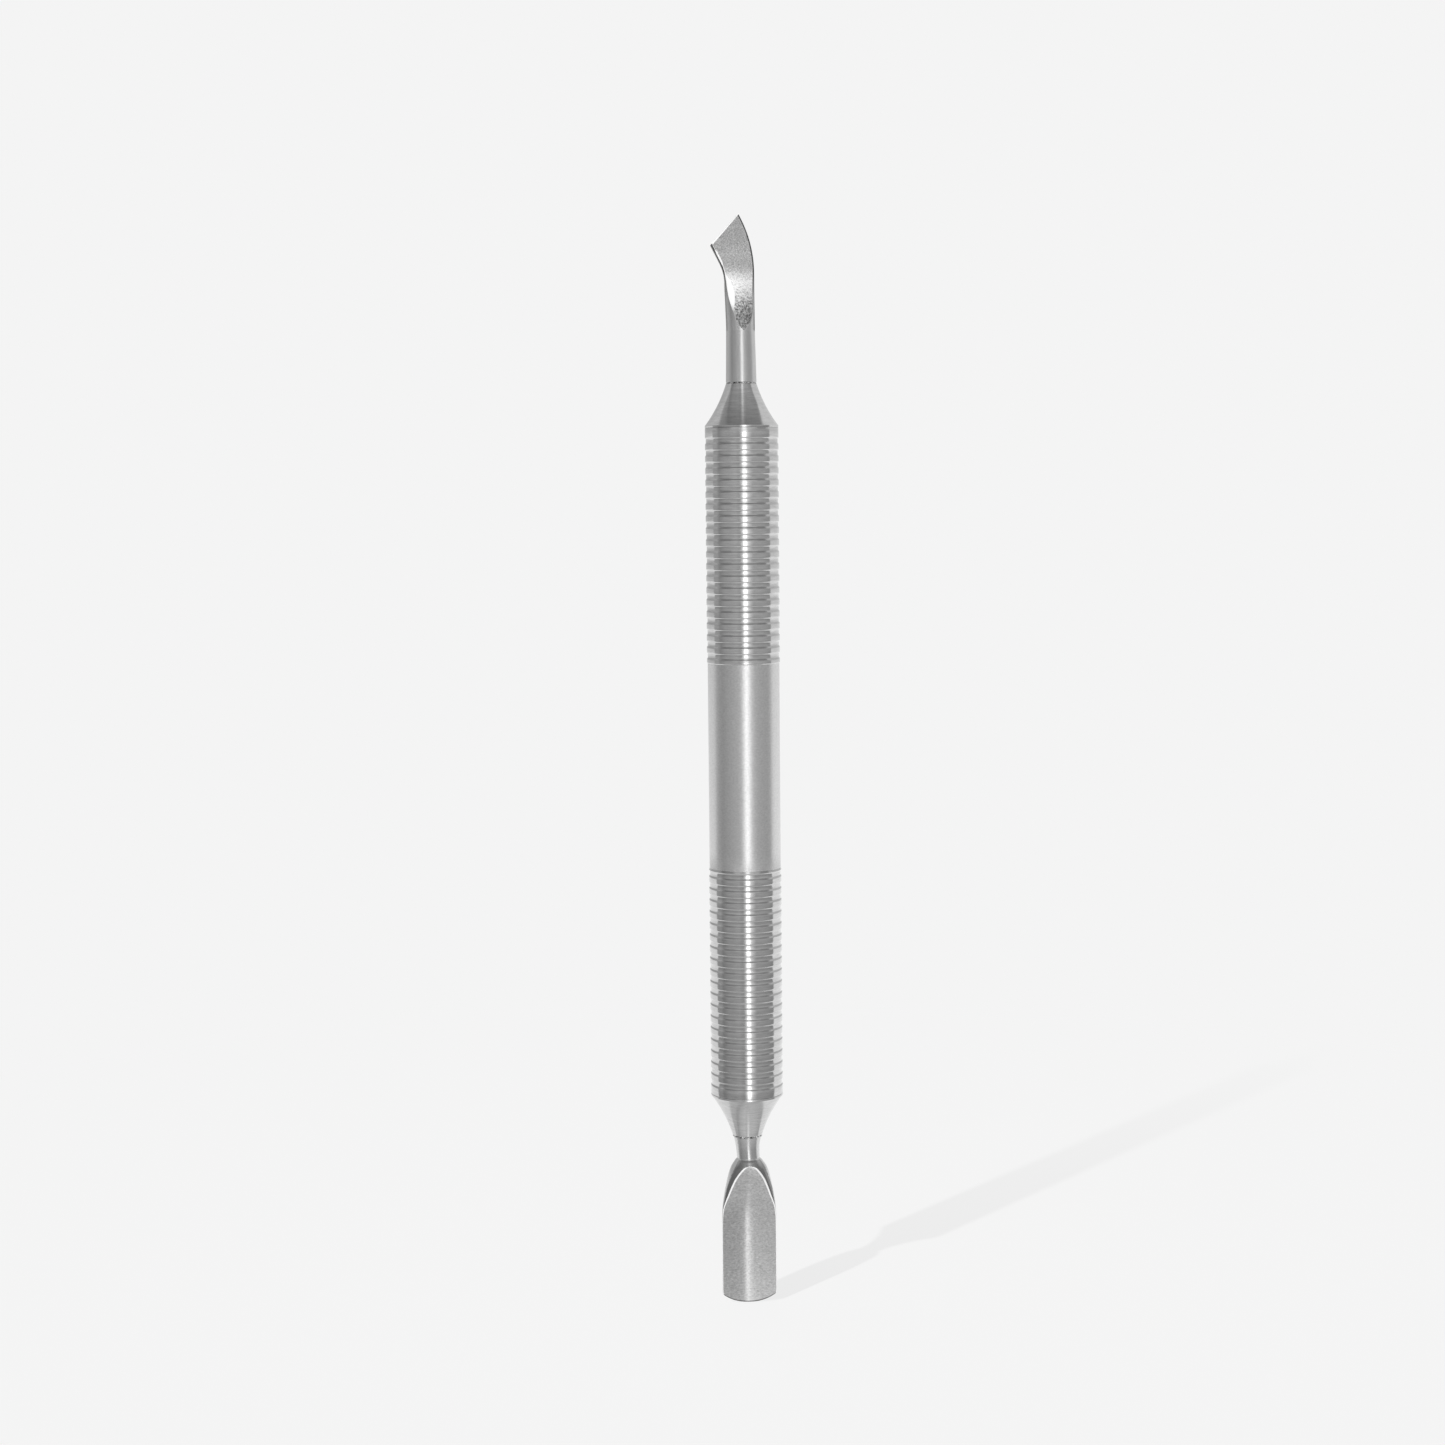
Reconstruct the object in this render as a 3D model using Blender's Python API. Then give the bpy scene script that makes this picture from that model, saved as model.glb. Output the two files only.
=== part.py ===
"""Double-ended cuticle pusher: a scraper blade and a pusher spoon on a hollow turned handle.

The tool stands along Z with the blade up and the spoon down. Both working faces look
towards -Y. The origin is the middle of the handle, on its axis. Lengths are in metres.
"""

import math

import bpy

MM = 0.001

# Facets
ROUND_SEGMENTS = 28
FACE_SEGMENTS = 8
FLARE_STEPS = 8

# Handle tube
HANDLE_LENGTH = 82.6 * MM
HANDLE_RADIUS = 4.5 * MM
BORE_RADIUS = 3.5 * MM
BAND_RADIUS = 4.42 * MM
BAND_TOP = 12.5 * MM
BAND_BOTTOM = -12.9 * MM

# Grip grooves, the same in both zones
GROOVE_COUNT = 19
GROOVE_PITCH = 1.459 * MM
GROOVE_WIDTH = 0.86 * MM
GROOVE_DEPTH = 0.10 * MM
GROOVE_UPPER_WALL = 0.18 * MM
GROOVE_LOWER_WALL = 0.22 * MM
UPPER_END_LAND = 1.17 * MM
LOWER_END_LAND = 1.03 * MM

# End cones
JOINT_GAP = 0.04 * MM
CONE_LENGTH = 5.3 * MM
CONE_RIM = 0.25 * MM
CONE_NECK_RADIUS = 1.88 * MM
CONE_FLARE_RADIUS = 17.0 * MM
SPIGOT_LENGTH = 6.0 * MM
SPIGOT_CHAMFER = 0.3 * MM
TANG_RADIUS = 1.2 * MM
TANG_LENGTH = 9.0 * MM

# Braze in the two seams
UPPER_SEAM = 0.10 * MM
LOWER_SEAM = 0.20 * MM
SEAM_INSET = 0.05 * MM
SEAM_FACE_GAP = 0.03 * MM

# Scraper blade
SHANK_RADIUS = 1.87 * MM
SHANK_EDGE = 0.12 * MM
NECK_LEFT = 1.97 * MM
NECK_RIGHT = 1.69 * MM
LEFT_FLARE_START = 58.75 * MM
LEFT_FLARE_RADIUS = 5.0 * MM
LEFT_FLARE_ANGLE = math.radians(27.0)
RIGHT_SWEEP_START = 60.0 * MM
RIGHT_SWEEP_RADIUS = 14.4 * MM
CORNER_HEIGHT = 63.4 * MM
TIP_HEIGHT = 67.2 * MM
FAN_START = 58.0 * MM
EDGE_BEVEL = 0.24 * MM
BLADE_VALLEY = 2.0
SCOOP_APEX = math.radians(9.0)

# Pusher spoon
SPOON_END = -67.34 * MM
SPOON_TIP_RADIUS = 5.4 * MM
SPOON_BULGE_START = -62.0 * MM
SPOON_SHIFT = 0.14 * MM
SPOON_SHIFT_START = -47.5 * MM
SPOON_SHIFT_END = -51.0 * MM
SPOON_VALLEY = 0.16
SPOON_VALLEY_PLACE = 0.475

# Section stations of the blade from its shoulder up:
# height, left half width, right half width, depth in front of the axis, depth behind it.
BLADE_BODY = (
    (46.9, 1.87, 1.87, 1.87, 1.87),
    (50.0, 1.83, 1.80, 1.80, 1.80),
    (53.2, 1.80, 1.72, 1.74, 1.72),
    (56.0, 1.88, 1.70, 1.62, 1.38),
    (58.75, 1.97, 1.69, 1.22, 0.95),
    (61.2, 1.97, 1.69, 1.35, 0.65),
    (64.0, 1.97, 1.69, 1.60, 0.55),
    (67.3, 1.97, 1.69, 1.70, 0.48),
)

# Blade face: height, depth of its edges in front of the axis, extra hollow in its middle,
# fall towards its right edge for each millimetre across.
BLADE_FACE = (
    (53.0, 1.80, 0.00, 0.15),
    (53.5, 1.67, -0.02, 0.17),
    (54.2, 1.47, -0.05, 0.19),
    (55.0, 1.27, -0.08, 0.23),
    (55.7, 1.10, -0.11, 0.24),
    (56.5, 0.92, -0.14, 0.18),
    (57.2, 0.78, -0.13, 0.11),
    (58.7, 0.56, -0.08, 0.05),
    (60.2, 0.45, -0.04, 0.06),
    (61.5, 0.46, 0.00, 0.08),
    (64.0, 0.46, 0.00, 0.08),
    (67.3, 0.42, 0.00, 0.08),
)

# Section stations of the spoon from its shoulder down:
# height, half width, depth in front of the axis, depth behind it.
SPOON_BODY = (
    (-46.86, 1.74, 1.74, 1.74),
    (-47.6, 1.58, 1.58, 1.58),
    (-48.5, 1.46, 1.46, 1.46),
    (-49.6, 1.43, 1.43, 1.43),
    (-50.05, 1.74, 1.68, 1.62),
    (-50.8, 2.24, 1.94, 1.80),
    (-51.6, 2.54, 1.87, 1.88),
    (-53.2, 2.92, 1.50, 1.80),
    (-54.7, 3.20, 1.10, 1.60),
    (-56.2, 3.38, 0.88, 1.38),
    (-57.8, 3.43, 0.72, 1.15),
    (-60.0, 3.43, 0.55, 0.92),
    (-64.0, 3.43, 0.42, 0.66),
    (-66.6, 3.43, 0.36, 0.48),
    (-67.0, 3.40, 0.35, 0.45),
    (-67.22, 3.32, 0.34, 0.42),
    (-67.34, 3.18, 0.34, 0.40),
)

# Spoon face: height, depth of its edges in front of the axis, extra hollow in its middle.
SPOON_FACE = (
    (-50.4, 1.87, 0.00),
    (-50.8, 1.80, 0.03),
    (-51.6, 1.54, 0.11),
    (-52.6, 1.17, 0.23),
    (-54.1, 0.71, 0.37),
    (-55.3, 0.41, 0.44),
    (-56.4, 0.21, 0.48),
    (-57.5, 0.13, 0.50),
    (-58.8, 0.08, 0.50),
    (-60.0, 0.06, 0.50),
    (-64.0, 0.05, 0.46),
    (-67.8, 0.05, 0.37),
)

HALF_HANDLE = HANDLE_LENGTH / 2
CONE_END = HALF_HANDLE + JOINT_GAP + CONE_LENGTH


def clear_scene():
    for item in list(bpy.data.objects):
        bpy.data.objects.remove(item, do_unlink=True)


def steel(name, color, roughness, metallic=1.0):
    material = bpy.data.materials.new(name)
    material.use_nodes = True
    shader = material.node_tree.nodes["Principled BSDF"]
    shader.inputs["Base Color"].default_value = (*color, 1.0)
    shader.inputs["Roughness"].default_value = roughness
    shader.inputs["Metallic"].default_value = metallic
    material.diffuse_color = (*color, 1.0)
    return material


def add_object(name, vertices, faces, material, sharp_angle=32.0):
    mesh = bpy.data.meshes.new(name)
    mesh.from_pydata(vertices, [], faces)
    mesh.validate()
    mesh.shade_smooth()
    mesh.set_sharp_from_angle(angle=math.radians(sharp_angle))
    mesh.materials.append(material)
    piece = bpy.data.objects.new(name, mesh)
    bpy.context.scene.collection.objects.link(piece)
    return piece


def revolve(name, outline, segments, material):
    """Turn a closed outline of (radius, height) points, outer side first going down."""
    count = len(outline)
    vertices = []
    for step in range(segments):
        angle = 2 * math.pi * step / segments
        for radius, height in outline:
            vertices.append((radius * math.cos(angle), radius * math.sin(angle), height))
    faces = []
    for step in range(segments):
        here = step * count
        there = ((step + 1) % segments) * count
        for point in range(count):
            following = (point + 1) % count
            faces.append((here + point, here + following, there + following, there + point))
    return add_object(name, vertices, faces, material)


def loft(name, rings, material):
    """Skin a stack of rings that run from bottom to top and close both ends."""
    count = len(rings[0])
    vertices = [point for ring in rings for point in ring]
    faces = []
    for row in range(len(rings) - 1):
        for point in range(count):
            following = (point + 1) % count
            low = row * count
            high = low + count
            faces.append((low + point, low + following, high + following, high + point))
    top = (len(rings) - 1) * count
    faces += [tuple(reversed(triangle)) for triangle in end_cap(vertices, 0, count)]
    faces += end_cap(vertices, top, count)
    return add_object(name, vertices, faces, material)


def end_cap(vertices, first, count):
    """Triangles between the front and back chains of a ring, from its left to its right."""
    front = [first + i for i in range(FACE_SEGMENTS + 1)]
    back = [first] + [first + i for i in reversed(range(FACE_SEGMENTS, count))]
    triangles = []
    near = far = 0
    while near < FACE_SEGMENTS or far < len(back) - 1:
        can_step_near = near < FACE_SEGMENTS and front[near + 1] != back[far]
        reach_near = vertices[front[near + 1]][0] if can_step_near else math.inf
        can_step_far = far < len(back) - 1
        reach_far = vertices[back[far + 1]][0] if can_step_far else math.inf
        if reach_near <= reach_far:
            corner = (front[near], front[near + 1], back[far])
            near += 1
        else:
            corner = (front[near], back[far + 1], back[far])
            far += 1
        if len(set(corner)) == 3:
            triangles.append(corner)
    return triangles


def soft_step(share):
    return share * share * (3 - 2 * share)


def station(stations, height):
    """Smoothly interpolate a table of stations given in millimetres."""
    rows = sorted(stations)
    value = height / MM
    if value <= rows[0][0]:
        return [number * MM for number in rows[0][1:]]
    if value >= rows[-1][0]:
        return [number * MM for number in rows[-1][1:]]
    index = max(i for i, row in enumerate(rows[:-1]) if row[0] <= value)
    result = []
    for column in range(1, len(rows[0])):
        result.append(hermite(rows, column, index, value) * MM)
    return result


def hermite(rows, column, index, value):
    """Cubic through the station values, with slopes that never overshoot."""

    def secant(i):
        return (rows[i + 1][column] - rows[i][column]) / (rows[i + 1][0] - rows[i][0])

    def slope(i):
        if i == 0:
            return secant(0)
        if i == len(rows) - 1:
            return secant(i - 1)
        before = secant(i - 1)
        after = secant(i)
        if before * after <= 0:
            return 0.0
        return 2 * before * after / (before + after)

    width = rows[index + 1][0] - rows[index][0]
    t = (value - rows[index][0]) / width
    low = rows[index][column]
    high = rows[index + 1][column]
    return (
        (2 * t**3 - 3 * t**2 + 1) * low
        + (t**3 - 2 * t**2 + t) * width * slope(index)
        + (3 * t**2 - 2 * t**3) * high
        + (t**3 - t**2) * width * slope(index + 1)
    )


def groove_lips():
    """Heights of the upper lip of every groove, from the top down."""
    upper = HALF_HANDLE - UPPER_END_LAND
    lower = -HALF_HANDLE + LOWER_END_LAND + GROOVE_WIDTH
    lips = [upper - i * GROOVE_PITCH for i in range(GROOVE_COUNT)]
    lips += [lower + i * GROOVE_PITCH for i in reversed(range(GROOVE_COUNT))]
    return lips


def groove(lip):
    """A flat-bottomed groove, from its upper lip to its lower lip."""
    foot = lip - GROOVE_WIDTH
    return [
        (HANDLE_RADIUS, lip),
        (HANDLE_RADIUS - GROOVE_DEPTH, lip - GROOVE_UPPER_WALL),
        (HANDLE_RADIUS - GROOVE_DEPTH, foot + GROOVE_LOWER_WALL),
        (HANDLE_RADIUS, foot),
    ]


def handle_outline():
    """Outer side from the top shoulder down, then the bore back up."""
    outline = [(HANDLE_RADIUS, HALF_HANDLE)]
    for index, lip in enumerate(groove_lips()):
        if index == GROOVE_COUNT:
            outline.append((HANDLE_RADIUS, BAND_TOP + 0.1 * MM))
            outline.append((BAND_RADIUS, BAND_TOP))
            outline.append((BAND_RADIUS, BAND_BOTTOM))
        outline += groove(lip)
    outline.append((HANDLE_RADIUS, -HALF_HANDLE))
    outline.append((BORE_RADIUS, -HALF_HANDLE))
    outline.append((BORE_RADIUS, HALF_HANDLE))
    return outline


def flare(steps):
    """Concave arc from the cone's rim in to its neck, as (radius, distance from the rim)."""
    start = (HANDLE_RADIUS, 0.0)
    end = (CONE_NECK_RADIUS, CONE_LENGTH - CONE_RIM)
    chord = math.dist(start, end)
    lean = math.atan2(start[0] - end[0], end[1] - start[1])
    half_turn = math.asin(chord / (2 * CONE_FLARE_RADIUS))
    points = []
    for step in range(steps + 1):
        turn = -half_turn + 2 * half_turn * step / steps
        along = CONE_FLARE_RADIUS * (math.sin(turn) + math.sin(half_turn))
        inward = CONE_FLARE_RADIUS * (math.cos(turn) - math.cos(half_turn))
        radius = start[0] - along * math.sin(lean) - inward * math.cos(lean)
        height = along * math.cos(lean) - inward * math.sin(lean)
        points.append((radius, height))
    return points


def cone_outline():
    """Outline of the upper cone, from its neck down to the end of its spigot."""
    base = HALF_HANDLE + JOINT_GAP
    outline = [(radius, base + CONE_RIM + height) for radius, height in reversed(flare(FLARE_STEPS))]
    outline.append((HANDLE_RADIUS, base))
    spigot_radius = BORE_RADIUS - JOINT_GAP
    spigot_end = base - SPIGOT_LENGTH
    outline.append((spigot_radius, base))
    outline.append((spigot_radius, spigot_end + SPIGOT_CHAMFER))
    outline.append((spigot_radius - SPIGOT_CHAMFER, spigot_end))
    outline.append((TANG_RADIUS + JOINT_GAP, spigot_end))
    outline.append((TANG_RADIUS + JOINT_GAP, CONE_END))
    return outline


def mirrored(outline):
    """The same outline turned end for end, still outer side first going down."""
    return [(radius, -height) for radius, height in reversed(outline)]


def seam_outline(low, high, outer):
    inner = TANG_RADIUS + JOINT_GAP
    middle = (low + high) / 2
    return [
        (outer - SEAM_INSET / 2, high),
        (outer, middle),
        (outer - SEAM_INSET / 2, low),
        (inner, low),
        (inner, high),
    ]


FRONT_QUARTER = (math.radians(-45.0), math.radians(45.0))


def circle_ring(radius, height):
    return section_ring((-radius, height), (radius, height), radius, radius, None)


def body_point(half, front, back, angle):
    """Point of the uncut section; angle 0 is its front and a quarter turn its right side."""
    depth = front if math.cos(angle) > 0 else back
    return half * math.sin(angle), -depth * math.cos(angle)


def cut_angles(place, half, front, back, face):
    """Angles at which the body meets the face surface on its left and right, or None."""

    def proud(angle):
        lateral, y = body_point(half, front, back, angle)
        x, z = place(lateral)
        return face(x, z, 0.0) - y

    summit = max(spread(math.radians(-80), math.radians(80), 64), key=proud)
    if proud(summit) <= 0:
        return None
    limits = []
    for outside in (math.radians(-89.5), math.radians(89.5)):
        inside = summit
        for _ in range(40):
            middle = (inside + outside) / 2
            if proud(middle) > 0:
                inside = middle
            else:
                outside = middle
        limits.append(inside)
    return limits


def section_ring(left, right, front, back, face, plain=FRONT_QUARTER):
    """Ring of a body between two outline points, with its front cut by a face surface.

    Where there is no cut, the columns of the face lie between the two plain angles.
    """
    centre = ((left[0] + right[0]) / 2, (left[1] + right[1]) / 2)
    half = math.dist(left, right) / 2
    along = ((right[0] - left[0]) / (2 * half), (right[1] - left[1]) / (2 * half))

    def place(lateral):
        return centre[0] + along[0] * lateral, centre[1] + along[1] * lateral

    def on_body(angle):
        lateral, y = body_point(half, front, back, angle)
        x, z = place(lateral)
        return x, y, z

    cut = cut_angles(place, half, front, back, face) if face else None
    first, last = cut or plain
    start = body_point(half, front, back, first)[0]
    end = body_point(half, front, back, last)[0]

    ring = []
    for step in range(FACE_SEGMENTS):
        across = step / FACE_SEGMENTS
        if cut:
            x, z = place(start + (end - start) * across)
            ring.append((x, face(x, z, across), z))
        else:
            ring.append(on_body(first + (last - first) * across))

    body_segments = ROUND_SEGMENTS - FACE_SEGMENTS
    sweep = 2 * math.pi + first - last
    for step in range(body_segments):
        ring.append(on_body(last + sweep * step / body_segments))
    return ring


def hollow_share(across, valley, place=0.5):
    """Share of a face's hollow at a place across it: flat sides and a rounded valley."""
    side = (across - place) / (1 - place) if across > place else (place - across) / place
    full = math.hypot(1, valley) - valley
    return 1 - (math.hypot(side, valley) - valley) / full


def spread(start, end, count):
    return [start + (end - start) * i / count for i in range(count + 1)]


def left_outline(height):
    """Left edge of the blade: the neck, a concave arc, then a straight flank."""
    if height <= LEFT_FLARE_START:
        return -station(BLADE_BODY, height)[0]
    rise = height - LEFT_FLARE_START
    arc_rise = LEFT_FLARE_RADIUS * math.sin(LEFT_FLARE_ANGLE)
    if rise <= arc_rise:
        return -NECK_LEFT - LEFT_FLARE_RADIUS + math.sqrt(LEFT_FLARE_RADIUS**2 - rise**2)
    arc_run = LEFT_FLARE_RADIUS * (1 - math.cos(LEFT_FLARE_ANGLE))
    return -NECK_LEFT - arc_run - (rise - arc_rise) * math.tan(LEFT_FLARE_ANGLE)


def right_outline(height):
    """Right edge of the blade: the neck, then a convex sweep to the tip."""
    if height <= RIGHT_SWEEP_START:
        return station(BLADE_BODY, height)[1]
    rise = height - RIGHT_SWEEP_START
    return NECK_RIGHT - RIGHT_SWEEP_RADIUS + math.sqrt(RIGHT_SWEEP_RADIUS**2 - rise**2)


def blade_face(x, z, across):
    edge, hollow, fall = station(BLADE_FACE, z)
    return -edge + hollow * hollow_share(across, BLADE_VALLEY) + x * fall / MM


def bevelled_end(ring, left, right):
    """Lean the front of the last ring back, as if the cutting edge were ground from there."""
    length = math.dist(left, right)
    inward = ((right[1] - left[1]) / length, -(right[0] - left[0]) / length)
    front = min(point[1] for point in ring)
    leaned = []
    for x, y, z in ring:
        shift = EDGE_BEVEL * max(0.0, y / front)
        leaned.append((x + inward[0] * shift, y, z + inward[1] * shift))
    return leaned


def blade_rings():
    shoulder = CONE_END + UPPER_SEAM + 2 * SEAM_FACE_GAP
    rings = [
        circle_ring(TANG_RADIUS, shoulder - TANG_LENGTH),
        circle_ring(TANG_RADIUS, shoulder),
        circle_ring(SHANK_RADIUS - SHANK_EDGE, shoulder),
        circle_ring(SHANK_RADIUS, shoulder + SHANK_EDGE),
    ]
    scoop_start = (BLADE_FACE[0][0] + 0.05) * MM
    heights = spread(shoulder + 1.5 * MM, scoop_start, 3)
    heights += [scoop_start + step * MM for step in (0.1, 0.4, 0.8, 1.4, 2.0, 2.7, 3.4, 4.1)]
    for height in heights:
        left = (left_outline(height), height)
        right = (right_outline(height), height)
        front, back = station(BLADE_BODY, height)[2:]
        near = max(0.0, 1 - abs(height - scoop_start) / (2 * MM))
        spare = math.radians(45.0 - 42.0 * near)
        plain = (SCOOP_APEX * near - spare, SCOOP_APEX * near + spare)
        face = blade_face if height > scoop_start else None
        rings.append(section_ring(left, right, front, back, face, plain))
    fan_rows = 12
    for row in range(fan_rows + 1):
        share = row / fan_rows
        low = FAN_START + (CORNER_HEIGHT - FAN_START) * share
        high = FAN_START + (TIP_HEIGHT - FAN_START) * share
        left = (left_outline(low), low)
        right = (right_outline(high), high)
        front, back = station(BLADE_BODY, (low + high) / 2)[2:]
        ring = section_ring(left, right, front, back, blade_face)
        if row == fan_rows:
            ring = bevelled_end(ring, left, right)
        rings.append(ring)
    return rings


def spoon_face(_, z, across):
    edge, hollow = station(SPOON_FACE, z)
    return -edge + hollow * hollow_share(across, SPOON_VALLEY, SPOON_VALLEY_PLACE)


def bulged(ring, half, height):
    """Bow a row of the spoon downwards so that the last one is the rounded tip."""
    share = (SPOON_BULGE_START - height) / (SPOON_BULGE_START - SPOON_END)
    share = max(0.0, min(1.0, share)) ** 2
    result = []
    for x, y, z in ring:
        across = min(half, abs(x - SPOON_SHIFT))
        full = math.sqrt(SPOON_TIP_RADIUS**2 - across**2) - math.sqrt(SPOON_TIP_RADIUS**2 - half**2)
        result.append((x, y, z - full * share))
    return result


def spoon_rings():
    shoulder = -(CONE_END + LOWER_SEAM + 2 * SEAM_FACE_GAP)
    apex = SPOON_FACE[0][0] * MM
    heights = spread(shoulder, -49.5 * MM, 5)
    heights += [-49.75 * MM, -50.05 * MM, apex]
    heights += [apex - step * MM for step in (0.1, 0.35, 0.8, 1.4, 2.2, 3.1, 4.1, 5.3, 6.6, 8.4, 10.2)]
    heights += spread(SPOON_BULGE_START, -66.6 * MM, 4)
    heights += [-67.0 * MM, -67.22 * MM, SPOON_END]
    rings = [
        circle_ring(TANG_RADIUS, shoulder + TANG_LENGTH),
        circle_ring(TANG_RADIUS, shoulder),
    ]
    for height in heights:
        half, front, back = station(SPOON_BODY, height)
        near = max(0.0, 1 - abs(height - apex) / (1.2 * MM))
        spare = math.radians(45.0 - 42.0 * near)
        shift = (SPOON_SHIFT_START - height) / (SPOON_SHIFT_START - SPOON_SHIFT_END)
        middle = SPOON_SHIFT * soft_step(max(0.0, min(1.0, shift)))
        sides = ((middle - half, height), (middle + half, height))
        ring = section_ring(*sides, front, back, spoon_face, (-spare, spare))
        rings.append(bulged(ring, half, height))
    return list(reversed(rings))


def build():
    clear_scene()
    handle = steel("handle_steel", (0.60, 0.60, 0.60), 0.24)
    cone = steel("cone_steel", (0.58, 0.58, 0.58), 0.22)
    blade = steel("blade_steel", (0.62, 0.62, 0.62), 0.34)
    spoon = steel("spoon_steel", (0.60, 0.60, 0.60), 0.30)
    braze = steel("seam_braze", (0.40, 0.40, 0.39), 0.45)

    revolve("handle_tube", handle_outline(), ROUND_SEGMENTS, handle)
    revolve("upper_cone", cone_outline(), ROUND_SEGMENTS, cone)
    revolve("lower_cone", mirrored(cone_outline()), ROUND_SEGMENTS, cone)

    upper_low = CONE_END + SEAM_FACE_GAP
    lower_high = -upper_low
    outer = CONE_NECK_RADIUS - SEAM_INSET
    upper = seam_outline(upper_low, upper_low + UPPER_SEAM, outer)
    lower = seam_outline(lower_high - LOWER_SEAM, lower_high, outer)
    revolve("upper_seam_braze", upper, ROUND_SEGMENTS, braze)
    revolve("lower_seam_braze", lower, ROUND_SEGMENTS, braze)

    loft("scraper_blade", blade_rings(), blade)
    loft("pusher_spoon", spoon_rings(), spoon)


build()
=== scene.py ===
"""Looks of the double-ended cuticle pusher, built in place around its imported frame.

Each steel part stands in for its CAD node with a finer surface: rounded grip grooves, a
rounded rim where a working face meets its body, a ground cutting edge and rough braze.
The tool stands along Z with the blade up. Both working faces look towards -Y.
"""

import math

import bpy
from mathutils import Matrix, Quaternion, Vector, noise


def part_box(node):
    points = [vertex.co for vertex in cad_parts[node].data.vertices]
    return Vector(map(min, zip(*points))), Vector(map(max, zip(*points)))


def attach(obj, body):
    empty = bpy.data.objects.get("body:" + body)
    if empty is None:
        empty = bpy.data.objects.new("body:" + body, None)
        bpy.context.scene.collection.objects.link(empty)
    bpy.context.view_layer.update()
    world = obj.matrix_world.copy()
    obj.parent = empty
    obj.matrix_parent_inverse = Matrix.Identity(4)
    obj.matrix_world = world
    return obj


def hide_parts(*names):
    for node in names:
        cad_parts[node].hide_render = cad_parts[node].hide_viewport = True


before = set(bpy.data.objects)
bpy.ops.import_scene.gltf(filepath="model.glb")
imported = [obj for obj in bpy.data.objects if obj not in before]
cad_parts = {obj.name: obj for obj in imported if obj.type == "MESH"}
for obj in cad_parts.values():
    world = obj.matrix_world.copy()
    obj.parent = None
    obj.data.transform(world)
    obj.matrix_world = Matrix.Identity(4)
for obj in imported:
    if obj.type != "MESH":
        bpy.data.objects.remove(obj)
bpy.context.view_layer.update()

MM = 0.001
DEGREE = math.radians(1.0)

# Places read from the frame
HANDLE_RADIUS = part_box("handle_tube")[1].x
HALF_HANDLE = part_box("handle_tube")[1].z
CONE_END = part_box("upper_cone")[1].z
SPIGOT_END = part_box("upper_cone")[0].z
UPPER_SEAM_LOW, UPPER_SEAM_HIGH = (corner.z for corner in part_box("upper_seam_braze"))
LOWER_SEAM_LOW, LOWER_SEAM_HIGH = (corner.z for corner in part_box("lower_seam_braze"))
BLADE_TANG_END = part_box("scraper_blade")[0].z
SPOON_TANG_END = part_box("pusher_spoon")[1].z
FLOOR_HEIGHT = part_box("pusher_spoon")[0].z

# Mesh fineness
ROUND_SEGMENTS = 120
FACE_COLUMNS = 40
RIM_COLUMNS = 6
BODY_COLUMNS = 84
SHANK_ROWS = 24
SCOOP_ROWS = 56
FAN_ROWS = 72
NECK_ROWS = 24
SHOULDER_ROWS = 16
BOWL_ROWS = 72
BULGE_ROWS = 30
TIP_ROWS = 16

# The farthest that a rounded rim reaches round onto the body.
RIM_REACH = 0.14 * MM

# Material slots of the blade and the spoon, and of the handle. Rims and the cutting edge are painted
# white as a painted highlight; walls and the grooves' lower walls are painted dark as painted shade.
BODY_SLOT, FACE_SLOT, PAINTED_HIGHLIGHT_SLOT, PAINTED_SHADE_SLOT = range(4)
GROOVED_SLOT, BAND_SLOT, PAINTED_SHADE_GROOVE_SLOT = range(3)

# Half the angle that the face's columns take up on an uncut section: usually, and right at
# the first point of the face, where they close in.
FRONT_HALF = 45.0 * DEGREE
APEX_HALF = 3.0 * DEGREE
FRONT_QUARTER = (-FRONT_HALF, FRONT_HALF)

# Handle tube, with the smooth band a little thinner than the grooved zones
BORE_RADIUS = 3.5 * MM
BAND_RADIUS = 4.42 * MM
BAND_TOP = 12.5 * MM
BAND_BOTTOM = -12.9 * MM
BAND_STEP = 0.1 * MM
EDGE_ROUND = 0.03 * MM
LAND_CROWN = 0.007 * MM

# Grip grooves
GROOVE_COUNT = 19
GROOVE_PITCH = 1.459 * MM
GROOVE_WIDTH = 0.86 * MM
GROOVE_DEPTH = 0.10 * MM
GROOVE_UPPER_WALL = 0.18 * MM
GROOVE_LOWER_WALL = 0.22 * MM
# The least growth in radius over one face that counts as a groove's lower wall.
LOWER_WALL_STEP = 0.006 * MM
UPPER_END_LAND = 1.17 * MM
LOWER_END_LAND = 1.03 * MM

# End cones
JOINT_GAP = 0.015 * MM
CONE_RIM = 0.25 * MM
CONE_NECK_RADIUS = 1.88 * MM
CONE_FLARE_RADIUS = 17.0 * MM
SPIGOT_CHAMFER = 0.3 * MM
TANG_RADIUS = 1.2 * MM
TANG_LENGTH = 9.0 * MM
SEAM_INSET = 0.03 * MM
BRAZE_LUMP = 0.16 * MM
BRAZE_FLATNESS = 1.6

# Scraper blade
SHANK_RADIUS = 1.87 * MM
SHANK_EDGE = 0.04 * MM
NECK_LEFT = 1.97 * MM
NECK_RIGHT = 1.69 * MM
LEFT_FLARE_START = 58.75 * MM
LEFT_FLARE_RADIUS = 5.0 * MM
LEFT_FLARE_ANGLE = 27.0 * DEGREE
RIGHT_SWEEP_START = 60.0 * MM
RIGHT_SWEEP_RADIUS = 14.4 * MM
CORNER_HEIGHT = 63.4 * MM
TIP_HEIGHT = 67.2 * MM
FAN_START = 58.0 * MM
FAN_GAP = 0.1 * MM
EDGE_BEVEL = 0.24 * MM
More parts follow.
